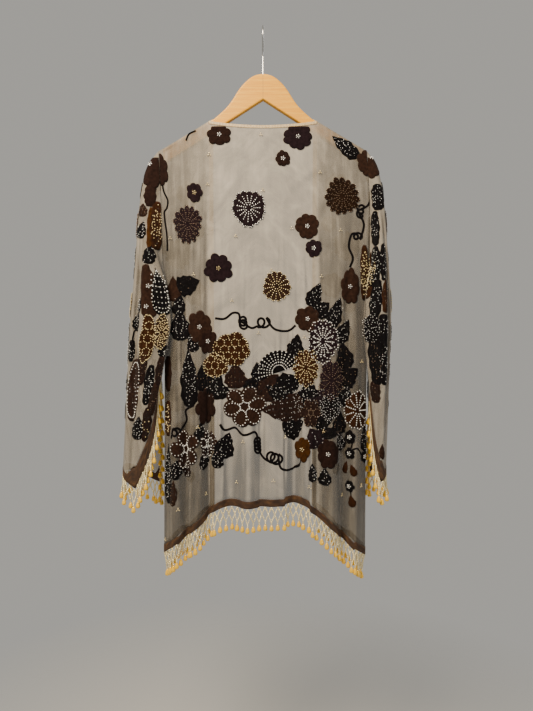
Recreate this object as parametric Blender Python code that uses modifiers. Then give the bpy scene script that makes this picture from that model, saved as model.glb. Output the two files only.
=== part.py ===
"""A short sheer jacket with velvet borders and beaded fringe, hanging on a wooden hanger.

The origin is where the hook bears on its rail. +Z is up, -Y is the jacket's back and +X is
the wearer's right hand side. All sizes are in metres.
"""

import math
from collections import namedtuple

import bmesh
import bpy
from mathutils import Vector

# Cloth, seams and trim
CLOTH = 0.0012
SEAM_GAP = 0.0005
SEAM_HALF = 0.0005
CUFF_GAP = 0.0009
ARMHOLE_GAP = 0.0009
BORDER = 0.014
BINDING = 0.006
FRONT_BINDING = 0.009
TAPE = 0.003

# Neck, shoulders and hem of the body, which is cut square and so drops at its sides
NECK_HALF = 0.108
NECK_SAG = 0.0087
NECK_Z = -0.186
SHOULDER_SLOPE = 0.60
SHOULDER_ROUND = 0.009
WRAP_ANGLES = (0, 30, 60)
NOMINAL_HALF = 0.200
FRONT_EDGE = 0.110
HEM_Z = -0.949
HEM_FLAT = 0.085
HEM_SLOPE = 0.86
HEM_SOFTNESS = 0.012
SIDE_ROUND = 0.045
UNDERARM_Z = -0.515
ARMHOLE_HALF = 0.0145

# Body levels from the shoulder tip down: side seams and how far each wall hangs from y = 0
BodyLevel = namedtuple("BodyLevel", "z left right depth")
BODY = (
    BodyLevel(-0.245, -0.2070, 0.2060, 0.0090),
    BodyLevel(-0.350, -0.2010, 0.2110, 0.0125),
    BodyLevel(-0.515, -0.1980, 0.2110, 0.0190),
    BodyLevel(-0.750, -0.1970, 0.2065, 0.0260),
    BodyLevel(-1.050, -0.1980, 0.2045, 0.0310),
)
MID_Z = -0.60

# Hanging folds: place across, half width, how far out at the hem (minus is a groove), and where it starts
Fold = namedtuple("Fold", "x half_width out start_z")
BACK_FOLDS = (
    Fold(-0.172, 0.016, 0.009, -0.52),
    Fold(-0.151, 0.013, -0.014, -0.60),
    Fold(-0.129, 0.016, 0.008, -0.50),
    Fold(-0.106, 0.014, -0.014, -0.55),
    Fold(-0.064, 0.022, -0.009, -0.62),
    Fold(-0.028, 0.024, 0.012, -0.60),
    Fold(0.018, 0.020, 0.004, -0.66),
    Fold(0.061, 0.022, -0.015, -0.62),
    Fold(0.092, 0.015, 0.007, -0.58),
    Fold(0.134, 0.020, 0.010, -0.50),
    Fold(0.158, 0.014, -0.017, -0.52),
    Fold(0.182, 0.014, 0.008, -0.55),
)
FRONT_FOLDS = (
    Fold(-0.172, 0.018, 0.010, -0.50),
    Fold(-0.145, 0.016, -0.013, -0.45),
    Fold(-0.118, 0.018, 0.008, -0.55),
    Fold(0.119, 0.018, 0.009, -0.50),
    Fold(0.147, 0.016, -0.014, -0.48),
    Fold(0.178, 0.018, 0.009, -0.55),
)

# Sleeve levels from the armhole down: outer edge, inner edge and half depth, all away from x = 0
SleeveLevel = namedtuple("SleeveLevel", "outer_x outer_z inner_x inner_z half_depth crease")
Groove = namedtuple("Groove", "angle half_angle share")
Sleeve = namedtuple("Sleeve", "name sign lap levels cuff grooves")
Cuff = namedtuple("Cuff", "outer_x inner_x half_depth crease low_z high_z outer_lift half_angle front_half_angle")
LEFT_SLEEVE = Sleeve(
    "left",
    -1,
    0.036,
    (
        SleeveLevel(0.2220, -0.2590, 0.2015, -0.5120, 0.0180, 0.00),
        SleeveLevel(0.2345, -0.2830, 0.2025, -0.5150, 0.0245, 0.10),
        SleeveLevel(0.2420, -0.3230, 0.2030, -0.5180, 0.0310, 0.25),
        SleeveLevel(0.2480, -0.3750, 0.2035, -0.5240, 0.0360, 0.45),
        SleeveLevel(0.2510, -0.4350, 0.2040, -0.5350, 0.0400, 0.65),
        SleeveLevel(0.2560, -0.5050, 0.2040, -0.5600, 0.0420, 0.85),
        SleeveLevel(0.2630, -0.5800, 0.2045, -0.6000, 0.0450, 1.00),
    ),
    Cuff(0.2770, 0.2060, 0.0500, 0.20, -0.9170, -0.6760, 0.030, 92, 28),
    (Groove(58, 24, 0.26), Groove(113, 24, 0.32), Groove(238, 28, 0.26), Groove(300, 24, 0.28)),
)
RIGHT_SLEEVE = Sleeve(
    "right",
    1,
    0.028,
    (
        SleeveLevel(0.2200, -0.2585, 0.2160, -0.5120, 0.0190, 0.00),
        SleeveLevel(0.2310, -0.2830, 0.2165, -0.5150, 0.0270, 0.10),
        SleeveLevel(0.2380, -0.3230, 0.2165, -0.5180, 0.0345, 0.25),
        SleeveLevel(0.2420, -0.3750, 0.2160, -0.5240, 0.0415, 0.45),
        SleeveLevel(0.2450, -0.4350, 0.2155, -0.5350, 0.0470, 0.65),
        SleeveLevel(0.2500, -0.5050, 0.2150, -0.5600, 0.0510, 0.85),
        SleeveLevel(0.2525, -0.5800, 0.2145, -0.6000, 0.0540, 1.00),
    ),
    Cuff(0.2425, 0.2135, 0.0470, 0.10, -0.9000, -0.7400, 0.018, 82, 30),
    (Groove(62, 26, 0.28), Groove(118, 24, 0.28), Groove(236, 28, 0.28), Groove(304, 24, 0.26)),
)
SLEEVE_DROP = (0.22, 0.45, 0.68, 0.88)
OVAL_POWER = 0.80
LAP_ANGLE = 52
LAP_HALF_ANGLE = 45
CUFF_PEAK = 0.85
CUFF_PEAK_ANGLE = 20
CUFF_FOOT_ANGLE = 40
CUFF_STEEP = 2.8

# Beaded fringe: one strand every half inch, a run of thread beads ending in a drop
STRAND_SPACING = 0.0127
STRAND_WIDTH = 0.0014
HEM_LEAN = 0.0010
CUFF_LEAN = 0.0028
STEEP_SHARE = 4
StrandStep = namedtuple("StrandStep", "down width")
STRAND = (StrandStep(0.036, 0.0012), StrandStep(0.043, 0.0044), StrandStep(0.0490, 0.0016))

# Wooden hanger and wire hook
HANGER_THICK = 0.012
HANGER_EDGE = 0.003
HANGER_HALF = 0.200
HANGER_NECK = 0.097
HANGER_TOP_Z = -0.092
HANGER_CROWN = 0.0021
HANGER_APEX_Z = -0.1435
HANGER_UNDER_SLOPE = 0.645
HANGER_UNDER_CLOTH = 0.0023
WIRE = 0.0038
HOOK_INNER = 0.019
HOOK_SHANK_TOP_Z = -0.062
HOOK_START_ANGLE = 215
HOOK_TIP_ANGLE = -30

# Mesh steps
SIDE_COLUMNS = 12
NECK_COLUMNS = 24
BODY_ROWS = (0.0, 0.05, 0.13, 0.23, 0.335, 0.44, 0.55, 0.66, 0.77, 0.88, 1.0)
RING_POINTS = 32

Finish = namedtuple("Finish", "colour roughness metallic")
FINISHES = {
    "sheer_cloth": Finish((0.30, 0.26, 0.21), 0.75, 0.0),
    "velvet_border": Finish((0.055, 0.026, 0.012), 0.90, 0.0),
    "bead_fringe": Finish((0.72, 0.42, 0.14), 0.25, 0.0),
    "hanger_wood": Finish((0.78, 0.50, 0.24), 0.40, 0.0),
    "hook_steel": Finish((0.60, 0.60, 0.60), 0.25, 1.0),
}


def mix(a, b, share):
    return a + (b - a) * share


def smooth(share):
    share = min(1.0, max(0.0, share))
    return share * share * (3 - 2 * share)


def bump(offset):
    """A soft ridge, 1 at its middle and 0 from one half width out."""
    return math.cos(offset * math.pi / 2) ** 2 if abs(offset) < 1 else 0.0


def body_level(z, column):
    """A column of the body table at height z."""
    z = min(BODY[0].z, max(BODY[-1].z, z))
    for upper, lower in zip(BODY, BODY[1:]):
        if z >= lower.z:
            share = (upper.z - z) / (upper.z - lower.z)
            return mix(getattr(upper, column), getattr(lower, column), share)
    return getattr(BODY[-1], column)


def shoulder_z(x):
    return NECK_Z - SHOULDER_SLOPE * (abs(x) - NECK_HALF)


def panel_top_z(side, x):
    """Where a body wall starts to hang straight: under the shoulder's rounding, or at the back neck."""
    if side > 0 or abs(x) >= NECK_HALF:
        return shoulder_z(x) - SHOULDER_ROUND
    return NECK_Z - SHOULDER_ROUND - NECK_SAG * (1 - (x / NECK_HALF) ** 2)


def hem_z(x):
    beyond = abs(x) - HEM_FLAT
    return HEM_Z - HEM_SLOPE * (beyond + math.hypot(beyond, HEM_SOFTNESS)) / 2


def body_x(column, z):
    """The x of a column, whose nominal place runs to 0.2 at a side seam, on the real side seams."""
    if abs(column) <= NECK_HALF:
        return column
    share = (abs(column) - NECK_HALF) / (NOMINAL_HALF - NECK_HALF)
    if column < 0:
        return mix(-NECK_HALF, body_level(z, "left"), share)
    return mix(NECK_HALF, body_level(z, "right"), share)


def armhole_half(z):
    """Half the armhole's opening at height z: round at the shoulder, closing to the side seam."""
    tip = shoulder_z(body_level(BODY[0].z, "left"))
    below_tip = tip - z
    if below_tip < SHOULDER_ROUND:
        return math.sqrt(max(0.0, SHOULDER_ROUND**2 - (SHOULDER_ROUND - below_tip) ** 2))
    middle = (tip + UNDERARM_Z) / 2
    if z > middle:
        return mix(SHOULDER_ROUND, ARMHOLE_HALF, smooth((tip - SHOULDER_ROUND - z) / (tip - middle)))
    share = min(1.0, (middle - z) / (middle - UNDERARM_Z))
    return max(SEAM_HALF, ARMHOLE_HALF * math.sqrt(1 - share * share))


def body_point(side, folds, column, row):
    """A point of a body wall. side is -1 for the back, 1 for a front; row is 1 at the hem."""
    x = body_x(column, MID_Z)
    z = mix(panel_top_z(side, x), hem_z(x), row)
    x = body_x(column, z)
    z = mix(panel_top_z(side, x), hem_z(x), row)
    edge = body_level(z, "left") if column < 0 else body_level(z, "right")
    inset = min(1.0, abs(edge - x) / SIDE_ROUND)
    rounding = math.sqrt(1 - (1 - inset) ** 2)
    half = armhole_half(z)
    out = mix(half, body_level(z, "depth"), rounding)
    for fold in folds:
        grown = smooth((fold.start_z - z) / (fold.start_z - HEM_Z))
        out += fold.out * grown * bump((x - fold.x) / fold.half_width) * rounding
    return Vector((x, side * out, z))


def hem_row(side, column, height):
    """The row that lies this height above the hem, in a given column."""
    x = body_x(column, MID_Z)
    return 1 - height / (panel_top_z(side, x) - hem_z(x))


def shoulder_point(side, column, degrees):
    """A point where the wall rounds over the hanger's arm, from the shoulder seam down."""
    angle = math.radians(degrees)
    x = body_x(column, BODY[0].z)
    out = max(SEAM_HALF, SHOULDER_ROUND * math.sin(angle))
    return Vector((x, side * out, shoulder_z(x) - SHOULDER_ROUND * (1 - math.cos(angle))))


def sleeve_ring(sleeve, level, angle):
    """A point of a sleeve at one level. Angle 0 is the inner edge, a quarter turn is the back."""
    across = (1 - math.cos(angle)) / 2
    grooves = sum(g.share * bump(turn_between(angle, g.angle) / g.half_angle) for g in sleeve.grooves)
    bulge = abs(math.sin(angle)) ** OVAL_POWER * (1 - level.crease * grooves)
    lap = sleeve.lap * level.crease * bump(turn_between(angle, LAP_ANGLE) / LAP_HALF_ANGLE)
    return Vector(
        (
            sleeve.sign * (mix(level.inner_x, level.outer_x, across) - lap),
            -math.copysign(level.half_depth * bulge, math.sin(angle)),
            mix(level.inner_z, level.outer_z, across),
        )
    )


def turn_between(angle, degrees):
    return (math.degrees(angle) - degrees + 180) % 360 - 180


def armhole_ring(sleeve, angle):
    """The sleeve's first ring, against the body's armhole edges."""
    tip = shoulder_z(body_level(BODY[0].z, "left"))
    z = mix(UNDERARM_Z, tip, (1 - math.cos(angle)) / 2)
    x = body_level(z, "left") if sleeve.sign < 0 else body_level(z, "right")
    return Vector((x + sleeve.sign * ARMHOLE_GAP, -math.copysign(armhole_half(z), math.sin(angle)), z))


def cuff_point(sleeve, angle, above=0.0):
    """A point of the cuff edge, which slopes up to a peak on the inside. above is square to the edge."""
    cuff = sleeve.cuff
    flat = SleeveLevel(cuff.outer_x, 0.0, cuff.inner_x, 0.0, cuff.half_depth, cuff.crease)
    place = sleeve_ring(sleeve, flat, angle)
    turn = abs(turn_between(angle, 0))
    past_foot = (cuff_foot(cuff, angle) + CUFF_FOOT_ANGLE - turn) / CUFF_FOOT_ANGLE
    on_slope = smooth(turn / CUFF_PEAK_ANGLE) * smooth(past_foot)
    place.z = cuff_z(cuff, angle) + above * mix(1.0, CUFF_STEEP, on_slope)
    return place


def cuff_z(cuff, angle):
    turn = abs(turn_between(angle, 0))
    outward = (1 - math.cos(angle)) / 2
    low = cuff.low_z + cuff.outer_lift * outward**2
    return mix(low, cuff.high_z, 1 - min(1.0, turn / cuff_foot(cuff, angle)) ** CUFF_PEAK)


def cuff_foot(cuff, angle):
    """How far round from the peak the edge is low again: farther on the back than on the front."""
    return cuff.half_angle if turn_between(angle, 0) > 0 else cuff.front_half_angle


def material(finish_name):
    """The Principled material of one finish, made once."""
    made = bpy.data.materials.get(finish_name)
    if made:
        return made
    finish = FINISHES[finish_name]
    made = bpy.data.materials.new(finish_name)
    made.use_nodes = True
    shader = made.node_tree.nodes["Principled BSDF"]
    shader.inputs["Base Color"].default_value = (*finish.colour, 1.0)
    shader.inputs["Roughness"].default_value = finish.roughness
    shader.inputs["Metallic"].default_value = finish.metallic
    return made


def add_object(name, data, finish_name):
    """Links a new object for this mesh or curve into the jacket's collection."""
    made = bpy.data.objects.new(name, data)
    data.materials.append(material(finish_name))
    bpy.data.collections["jacket_on_hanger"].objects.link(made)
    return made


def grid_mesh(points, closed=False, keep=None):
    """A bmesh grid moved onto rows of points. closed joins the last column to the first."""
    rows, columns = len(points), len(points[0])
    bm = bmesh.new()
    bmesh.ops.create_grid(bm, x_segments=columns - 1, y_segments=rows - 1, size=0.5)
    corners = sorted(bm.verts, key=lambda v: (round(-v.co.y, 4), round(v.co.x, 4)))
    place = {vertex: divmod(index, columns) for index, vertex in enumerate(corners)}
    if keep:
        first = {face: min(place[v] for v in face.verts) for face in bm.faces}
        unwanted = [face for face, (row, column) in first.items() if not keep(row, column)]
        bmesh.ops.delete(bm, geom=unwanted, context="FACES")
    for vertex in bm.verts:
        row, column = place[vertex]
        vertex.co = points[row][column]
    if closed:
        bmesh.ops.remove_doubles(bm, verts=bm.verts, dist=1e-6)
    bmesh.ops.recalc_face_normals(bm, faces=bm.faces)
    return bm


def add_wall(name, points, finish_name, closed=False, keep=None, thick=CLOTH):
    """One sewn piece: an open surface through the points, with Solidify for its thickness."""
    bm = grid_mesh(points, closed, keep)
    mesh = bpy.data.meshes.new(name)
    bm.to_mesh(mesh)
    bm.free()
    mesh.shade_smooth()
    wall = add_object(name, mesh, finish_name)
    solid = wall.modifiers.new("thickness", "SOLIDIFY")
    solid.thickness = thick
    solid.offset = 0.0
    return wall


def spread(start, end, count):
    return [mix(start, end, i / count) for i in range(count + 1)]


def panel_rows(side, folds, columns):
    """Points of a body panel: rounded over the shoulder, then down to its border."""
    over = [[shoulder_point(side, c, degrees) for c in columns] for degrees in WRAP_ANGLES]
    down = []
    for share in BODY_ROWS:
        rows = [share * hem_row(side, c, BORDER + SEAM_GAP) for c in columns]
        down.append([body_point(side, folds, c, row) for c, row in zip(columns, rows)])
    return over + down


def back_columns():
    left = spread(-NOMINAL_HALF, -NECK_HALF, SIDE_COLUMNS)
    neck = spread(-NECK_HALF, NECK_HALF, NECK_COLUMNS)
    right = spread(NECK_HALF, NOMINAL_HALF, SIDE_COLUMNS)
    return left + neck[1:] + right[1:]


def front_columns(sign):
    return spread(sign * FRONT_EDGE, sign * NOMINAL_HALF, SIDE_COLUMNS)


def add_back():
    columns = back_columns()

    def outside_neck(row, column):
        return row >= len(WRAP_ANGLES) or not SIDE_COLUMNS <= column < SIDE_COLUMNS + NECK_COLUMNS

    add_wall("back_panel", panel_rows(-1, BACK_FOLDS, columns), "sheer_cloth", keep=outside_neck)
    add_border("hem_border_back", -1, BACK_FOLDS, columns)
    ends = NECK_HALF - SEAM_GAP
    neck = spread(-ends, ends, NECK_COLUMNS)
    lower = [body_point(-1, BACK_FOLDS, c, 0.0) + Vector((0, 0, SEAM_GAP)) for c in neck]
    upper = [point + Vector((0, 0, BINDING)) for point in lower]
    add_wall("neck_binding", [upper, lower], "sheer_cloth")


def add_border(name, side, folds, columns):
    """The velvet border along a panel's hem."""
    upper = [body_point(side, folds, c, hem_row(side, c, BORDER)) for c in columns]
    lower = [body_point(side, folds, c, 1.0) for c in columns]
    add_wall(name, [upper, lower], "velvet_border")


def add_front(name, sign):
    columns = front_columns(sign)
    add_wall(f"front_panel_{name}", panel_rows(1, FRONT_FOLDS, columns), "sheer_cloth")
    add_border(f"hem_border_front_{name}", 1, FRONT_FOLDS, columns)
    near = sign * (FRONT_EDGE - SEAM_GAP)
    strip = panel_rows(1, FRONT_FOLDS, [near - sign * FRONT_BINDING, near])
    strip.append([body_point(1, FRONT_FOLDS, c, 1.0) for c in (near - sign * FRONT_BINDING, near)])
    add_wall(f"front_binding_{name}", strip, "sheer_cloth")


def ring_angles():
    return [math.tau * i / RING_POINTS for i in range(RING_POINTS)] + [math.tau]


def add_sleeve(sleeve):
    """A sleeve, its velvet cuff border, and the sloped cuff edge that both follow."""
    angles = ring_angles()
    rows = [[armhole_ring(sleeve, a) for a in angles]]
    rows += [[sleeve_ring(sleeve, level, a) for a in angles] for level in sleeve.levels]
    last = rows[-1]
    edge = [cuff_point(sleeve, a, BORDER + CUFF_GAP) for a in angles]
    for share in (*SLEEVE_DROP, 1.0):
        rows.append([upper.lerp(lower, share) for upper, lower in zip(last, edge)])
    add_wall(f"sleeve_{sleeve.name}", rows, "sheer_cloth", closed=True)
    upper = [cuff_point(sleeve, a, BORDER) for a in angles]
    lower = [cuff_point(sleeve, a) for a in angles]
    add_wall(f"cuff_border_{sleeve.name}", [upper, lower], "velvet_border", closed=True)


def tape_places(path, closed):
    """Places along a path where the tape bends or a strand starts or ends, and which of them start one."""
    lengths = [0.0]
    for before, after in zip(path, path[1:]):
        run = after - before
        lengths.append(lengths[-1] + min(run.length, STEEP_SHARE * run.xy.length))
    count = round(lengths[-1] / STRAND_SPACING)
    middles = [(strand + 0.5) * lengths[-1] / count for strand in range(count)]
    starts = [middle - STRAND_WIDTH / 2 for middle in middles]
    ends = [middle + STRAND_WIDTH / 2 for middle in middles]
    bends = [b for b in lengths if min(abs(b - middle) for middle in middles) > STRAND_WIDTH]
    bends = bends if closed else bends[1:-1]
    alongs = sorted(starts + ends + bends)
    return [tape_point(lengths, along) for along in alongs], [alongs.index(start) for start in starts]


def tape_point(lengths, along):
    """The leg of a path and the share of that leg at a length along it."""
    leg = max(i for i, length in enumerate(lengths[:-1]) if length <= along)
    return leg, (along - lengths[leg]) / (lengths[leg + 1] - lengths[leg])


def add_fringe(name, upper_path, lower_path, closed=False, lean=0.0):
    """A narrow tape under a border's edge, and strands drawn from its lower faces that lean by turns."""
    places, firsts = tape_places(lower_path, closed)
    upper = [upper_path[leg].lerp(upper_path[leg + 1], share) for leg, share in places]
    lower = [lower_path[leg].lerp(lower_path[leg + 1], share) for leg, share in places]
    bm = grid_mesh([upper, lower], closed)
    corner = {tuple(round(c, 6) for c in v.co): v for v in bm.verts}
    sides = [corner[tuple(round(c, 6) for c in place)] for place in lower]
    edges = [bm.edges.get((sides[first], sides[first + 1])) for first in firsts]
    tape = bm.faces[:]
    bmesh.ops.solidify(bm, geom=tape, thickness=CLOTH)
    roots = [next(face for face in edge.link_faces if face not in tape) for edge in edges]
    starts = [root.calc_center_median() for root in roots]
    runs = [lower[first + 1] - lower[first] for first in firsts]
    for step in STRAND:
        ends = [root.calc_center_median() for root in roots]
        drawn = bmesh.ops.extrude_discrete_faces(bm, faces=roots)["faces"]
        roots = [min(drawn, key=lambda face: (face.calc_center_median() - end).length) for end in ends]
        for number, (face, start, run) in enumerate(zip(roots, starts, runs)):
            level = Vector((run.x, run.y, 0)).normalized()
            square = Vector((-level.y, level.x, 0))
            centre = face.calc_center_median()
            end = start + (lean if number % 2 else -lean) * square - Vector((0, 0, step.down))
            for vertex in face.verts:
                offset = vertex.co - centre
                along = math.copysign(step.width / 2, offset.dot(run))
                across = math.copysign(step.width / 2, offset.dot(square))
                vertex.co = end + along * level + across * square
    bmesh.ops.recalc_face_normals(bm, faces=bm.faces)
    mesh = bpy.data.meshes.new(name)
    bm.to_mesh(mesh)
    bm.free()
    add_object(name, mesh, "bead_fringe")


def add_fringes():
    def below_hem(side, folds, columns):
        hem = [body_point(side, folds, c, 1.0) for c in columns]
        return [[p - Vector((0, 0, down)) for p in hem] for down in (SEAM_GAP, SEAM_GAP + TAPE)]

    add_fringe("fringe_back", *below_hem(-1, BACK_FOLDS, back_columns()), lean=HEM_LEAN)
    for name, sign in (("left", -1), ("right", 1)):
        add_fringe(f"fringe_front_{name}", *below_hem(1, FRONT_FOLDS, front_columns(sign)), lean=HEM_LEAN)
    for sleeve in (LEFT_SLEEVE, RIGHT_SLEEVE):
        edges = (-CUFF_GAP, -CUFF_GAP - TAPE)
        cuff = [[cuff_point(sleeve, a, above) for a in ring_angles()] for above in edges]
        add_fringe(f"fringe_cuff_{sleeve.name}", *cuff, closed=True, lean=CUFF_LEAN)


def add_hanger():
    """Flat wooden hanger: one outline with rounded edges, its arms under the shoulder seams."""
    arm_z = shoulder_z(HANGER_NECK) - HANGER_UNDER_CLOTH
    tip_z = shoulder_z(HANGER_HALF) - HANGER_UNDER_CLOTH
    under_z = HANGER_APEX_Z - HANGER_UNDER_SLOPE * HANGER_HALF
    half = (
        (0.0120, HANGER_TOP_Z - HANGER_CROWN, "AUTO"),
        (0.0340, -0.1075, "AUTO"),
        (0.0720, -0.1585, "AUTO"),
        (HANGER_NECK, arm_z, "VECTOR"),
        (HANGER_HALF, tip_z, "VECTOR"),
        (HANGER_HALF, under_z, "VECTOR"),
    )
    outline = [*half, (0.0, HANGER_APEX_Z, "VECTOR")]
    outline += [(-x, z, handle) for x, z, handle in reversed(half)]
    curve = bpy.data.curves.new("hanger", "CURVE")
    curve.dimensions = "2D"
    curve.fill_mode = "BOTH"
    curve.resolution_u = 5
    curve.extrude = HANGER_THICK / 2 - HANGER_EDGE
    curve.bevel_depth = HANGER_EDGE
    curve.bevel_resolution = 2
    curve.offset = -HANGER_EDGE
    spline = curve.splines.new("BEZIER")
    spline.bezier_points.add(len(outline) - 1)
    spline.use_cyclic_u = True
    for point, (x, z, handle) in zip(spline.bezier_points, outline):
        point.co = (x, z, 0.0)
        point.handle_left_type = handle
        point.handle_right_type = handle
    hanger = add_object("hanger", curve, "hanger_wood")
    hanger.rotation_euler.x = math.pi / 2


def hook_path():
    """The wire's centreline: shank, a bend to one side, then the round hook over the rail."""
    centre = Vector((0, 0, -HOOK_INNER))
    radius = HOOK_INNER + WIRE / 2

    def on_ring(degrees):
        angle = math.radians(degrees)
        return centre + radius * Vector((0, math.cos(angle), math.sin(angle)))

    shank = [Vector((0, 0, HANGER_TOP_Z + SEAM_GAP)), Vector((0, 0, HOOK_SHANK_TOP_Z))]
    start = on_ring(HOOK_START_ANGLE)
    angle = math.radians(HOOK_START_ANGLE)
    pull = radius * 0.8
    controls = (
        shank[1],
        shank[1] + Vector((0, 0, pull)),
        start - pull * Vector((0, math.sin(angle), -math.cos(angle))),
        start,
    )
    bend = []
    for share in spread(0.0, 1.0, 8)[1:-1]:
        weights = ((1 - share) ** 3, 3 * share * (1 - share) ** 2, 3 * share**2 * (1 - share), share**3)
        bend.append(sum((w * c for w, c in zip(weights, controls)), Vector()))
    ring = [on_ring(d) for d in spread(HOOK_START_ANGLE, HOOK_TIP_ANGLE, 24)]
    return shank + bend + ring


def add_hook():
    curve = bpy.data.curves.new("hanger_hook", "CURVE")
    curve.dimensions = "3D"
    curve.bevel_depth = WIRE / 2
    curve.bevel_resolution = 2
    curve.use_fill_caps = True
    path = hook_path()
    spline = curve.splines.new("POLY")
    spline.points.add(len(path) - 1)
    for point, place in zip(spline.points, path):
        point.co = (*place, 1.0)
    add_object("hanger_hook", curve, "hook_steel")


def main():
    for old in list(bpy.data.objects):
        bpy.data.objects.remove(old)
    collection = bpy.data.collections.new("jacket_on_hanger")
    bpy.context.scene.collection.children.link(collection)
    add_hanger()
    add_hook()
    add_back()
    for name, sign in (("left", -1), ("right", 1)):
        add_front(name, sign)
    for sleeve in (LEFT_SLEEVE, RIGHT_SLEEVE):
        add_sleeve(sleeve)
    add_fringes()


main()
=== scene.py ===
import math
from collections import namedtuple

import bmesh
import bpy
import numpy as np
from mathutils.bvhtree import BVHTree
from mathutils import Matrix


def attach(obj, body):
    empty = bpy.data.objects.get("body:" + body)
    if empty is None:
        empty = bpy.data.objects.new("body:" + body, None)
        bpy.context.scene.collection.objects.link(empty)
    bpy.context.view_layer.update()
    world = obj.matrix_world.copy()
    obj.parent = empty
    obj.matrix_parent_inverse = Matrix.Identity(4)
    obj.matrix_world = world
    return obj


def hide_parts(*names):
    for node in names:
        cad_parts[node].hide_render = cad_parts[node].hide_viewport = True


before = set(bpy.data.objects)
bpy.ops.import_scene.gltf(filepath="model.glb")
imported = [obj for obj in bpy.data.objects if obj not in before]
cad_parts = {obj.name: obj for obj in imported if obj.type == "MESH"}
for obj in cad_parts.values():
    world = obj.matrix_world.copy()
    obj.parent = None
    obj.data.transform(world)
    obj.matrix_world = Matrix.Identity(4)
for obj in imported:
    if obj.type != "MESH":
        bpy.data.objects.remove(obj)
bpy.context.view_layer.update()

# Viewpoint: the camera stands level behind the jacket, about a metre away at the height of its middle.
# The picture is 533 by 711, and its lens is given by the focal length in those pixels.
PICTURE = (533, 711)
FOCAL_PX = 513.5
EYE = np.array((0.007, -1.03, -0.655))
SENSOR = 36.0
camera = bpy.data.objects.new("camera", bpy.data.cameras.new("camera"))
camera.location = EYE
camera.rotation_euler = (math.pi / 2, 0, 0)
camera.data.sensor_fit = "VERTICAL"
camera.data.sensor_height = SENSOR
camera.data.lens = SENSOR * FOCAL_PX / PICTURE[1]
bpy.context.scene.collection.objects.link(camera)
bpy.context.scene.camera = camera


# Hanger: flat board of beech, glued from two halves at the middle, edges rounded over, clear varnish.
# The jacket's shoulder seams lie along its arms.
HANGER_THICK = 0.012
HANGER_EDGE = 0.003
HANGER_HALF = 0.200
HANGER_NECK = 0.097
HANGER_TOP_Z = -0.092
HANGER_CROWN = 0.0021
HANGER_APEX_Z = -0.1435
HANGER_UNDER_SLOPE = 0.645
HANGER_UNDER_CLOTH = 0.0023
NECK_HALF = 0.108
NECK_Z = -0.186
SHOULDER_SLOPE = 0.60


def linear(hex_colour):
    """An sRGB hex colour as linear red, green, blue and alpha."""
    parts = [int(hex_colour[i : i + 2], 16) / 255 for i in (1, 3, 5)]
    return (*[c / 12.92 if c <= 0.04045 else ((c + 0.055) / 1.055) ** 2.4 for c in parts], 1.0)


def feed(node, **inputs):
    """Sets or links a node's inputs, by name with underscores for spaces, or by number as in _0."""
    for name, value in inputs.items():
        socket = node.inputs[int(name[1:]) if name[0] == "_" else name.replace("_", " ")]
        if isinstance(value, bpy.types.Node):
            value = value.outputs[0]
        if isinstance(value, bpy.types.NodeSocket):
            node.id_data.links.new(value, socket)
        else:
            socket.default_value = value


def add_node(tree, kind, settings=None, **inputs):
    """Adds a node, sets its properties and feeds its inputs."""
    made = tree.nodes.new(kind)
    for name, value in (settings or {}).items():
        setattr(made, name, value)
    feed(made, **inputs)
    return made


def add_dents(tree, shader, height, strength, depth):
    """Bumps a shader's surface by the height that a node gives."""
    feed(shader, Normal=add_node(tree, "ShaderNodeBump", Strength=strength, Distance=depth, Height=height))


def new_finish(name, **values):
    """A material with one Principled shader whose plain values are set on its sockets."""
    made = bpy.data.materials.new(name)
    made.use_nodes = True
    shader = made.node_tree.nodes["Principled BSDF"]
    feed(shader, **values)
    return made, made.node_tree, shader


def add_ramp(tree, factor, *stops):
    """A colour ramp through (place, hex colour) stops."""
    ramp = add_node(tree, "ShaderNodeValToRGB", Fac=factor)
    while len(ramp.color_ramp.elements) < len(stops):
        ramp.color_ramp.elements.new(0.5)
    for element, (place, colour) in zip(ramp.color_ramp.elements, stops):
        element.position = place
        element.color = linear(colour)
    return ramp


def shoulder_z(x):
    return NECK_Z - SHOULDER_SLOPE * (np.abs(x) - NECK_HALF)


def plain_mesh(source, name):
    """The evaluated shape of a made object as a mesh object of its own, at the origin; the source goes."""
    bpy.context.view_layer.update()
    shape = bpy.data.meshes.new_from_object(source.evaluated_get(bpy.context.evaluated_depsgraph_get()))
    shape.transform(source.matrix_world)
    bpy.data.objects.remove(source)
    return add_piece(name, shape)


def add_piece(name, shape):
    """Links a mesh as a piece of the object that rides on its one body."""
    shape.name = name
    piece = bpy.data.objects.new(name, shape)
    bpy.context.scene.collection.objects.link(piece)
    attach(piece, "root")
    return piece


arm_z = shoulder_z(HANGER_NECK) - HANGER_UNDER_CLOTH
tip_z = shoulder_z(HANGER_HALF) - HANGER_UNDER_CLOTH
under_z = HANGER_APEX_Z - HANGER_UNDER_SLOPE * HANGER_HALF
half = (
    (0.0120, HANGER_TOP_Z - HANGER_CROWN, "AUTO"),
    (0.0340, -0.1075, "AUTO"),
    (0.0720, -0.1585, "AUTO"),
    (HANGER_NECK, arm_z, "VECTOR"),
    (HANGER_HALF, tip_z, "VECTOR"),
    (HANGER_HALF, under_z, "VECTOR"),
)
outline = [*half, (0.0, HANGER_APEX_Z, "VECTOR"), *[(-x, z, handle) for x, z, handle in reversed(half)]]
board = bpy.data.curves.new("board", "CURVE")
board.dimensions = "2D"
board.fill_mode = "BOTH"
board.resolution_u = 16
board.extrude = HANGER_THICK / 2 - HANGER_EDGE
board.bevel_depth = HANGER_EDGE
board.bevel_resolution = 4
board.offset = -HANGER_EDGE
spline = board.splines.new("BEZIER")
spline.bezier_points.add(len(outline) - 1)
spline.use_cyclic_u = True
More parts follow.
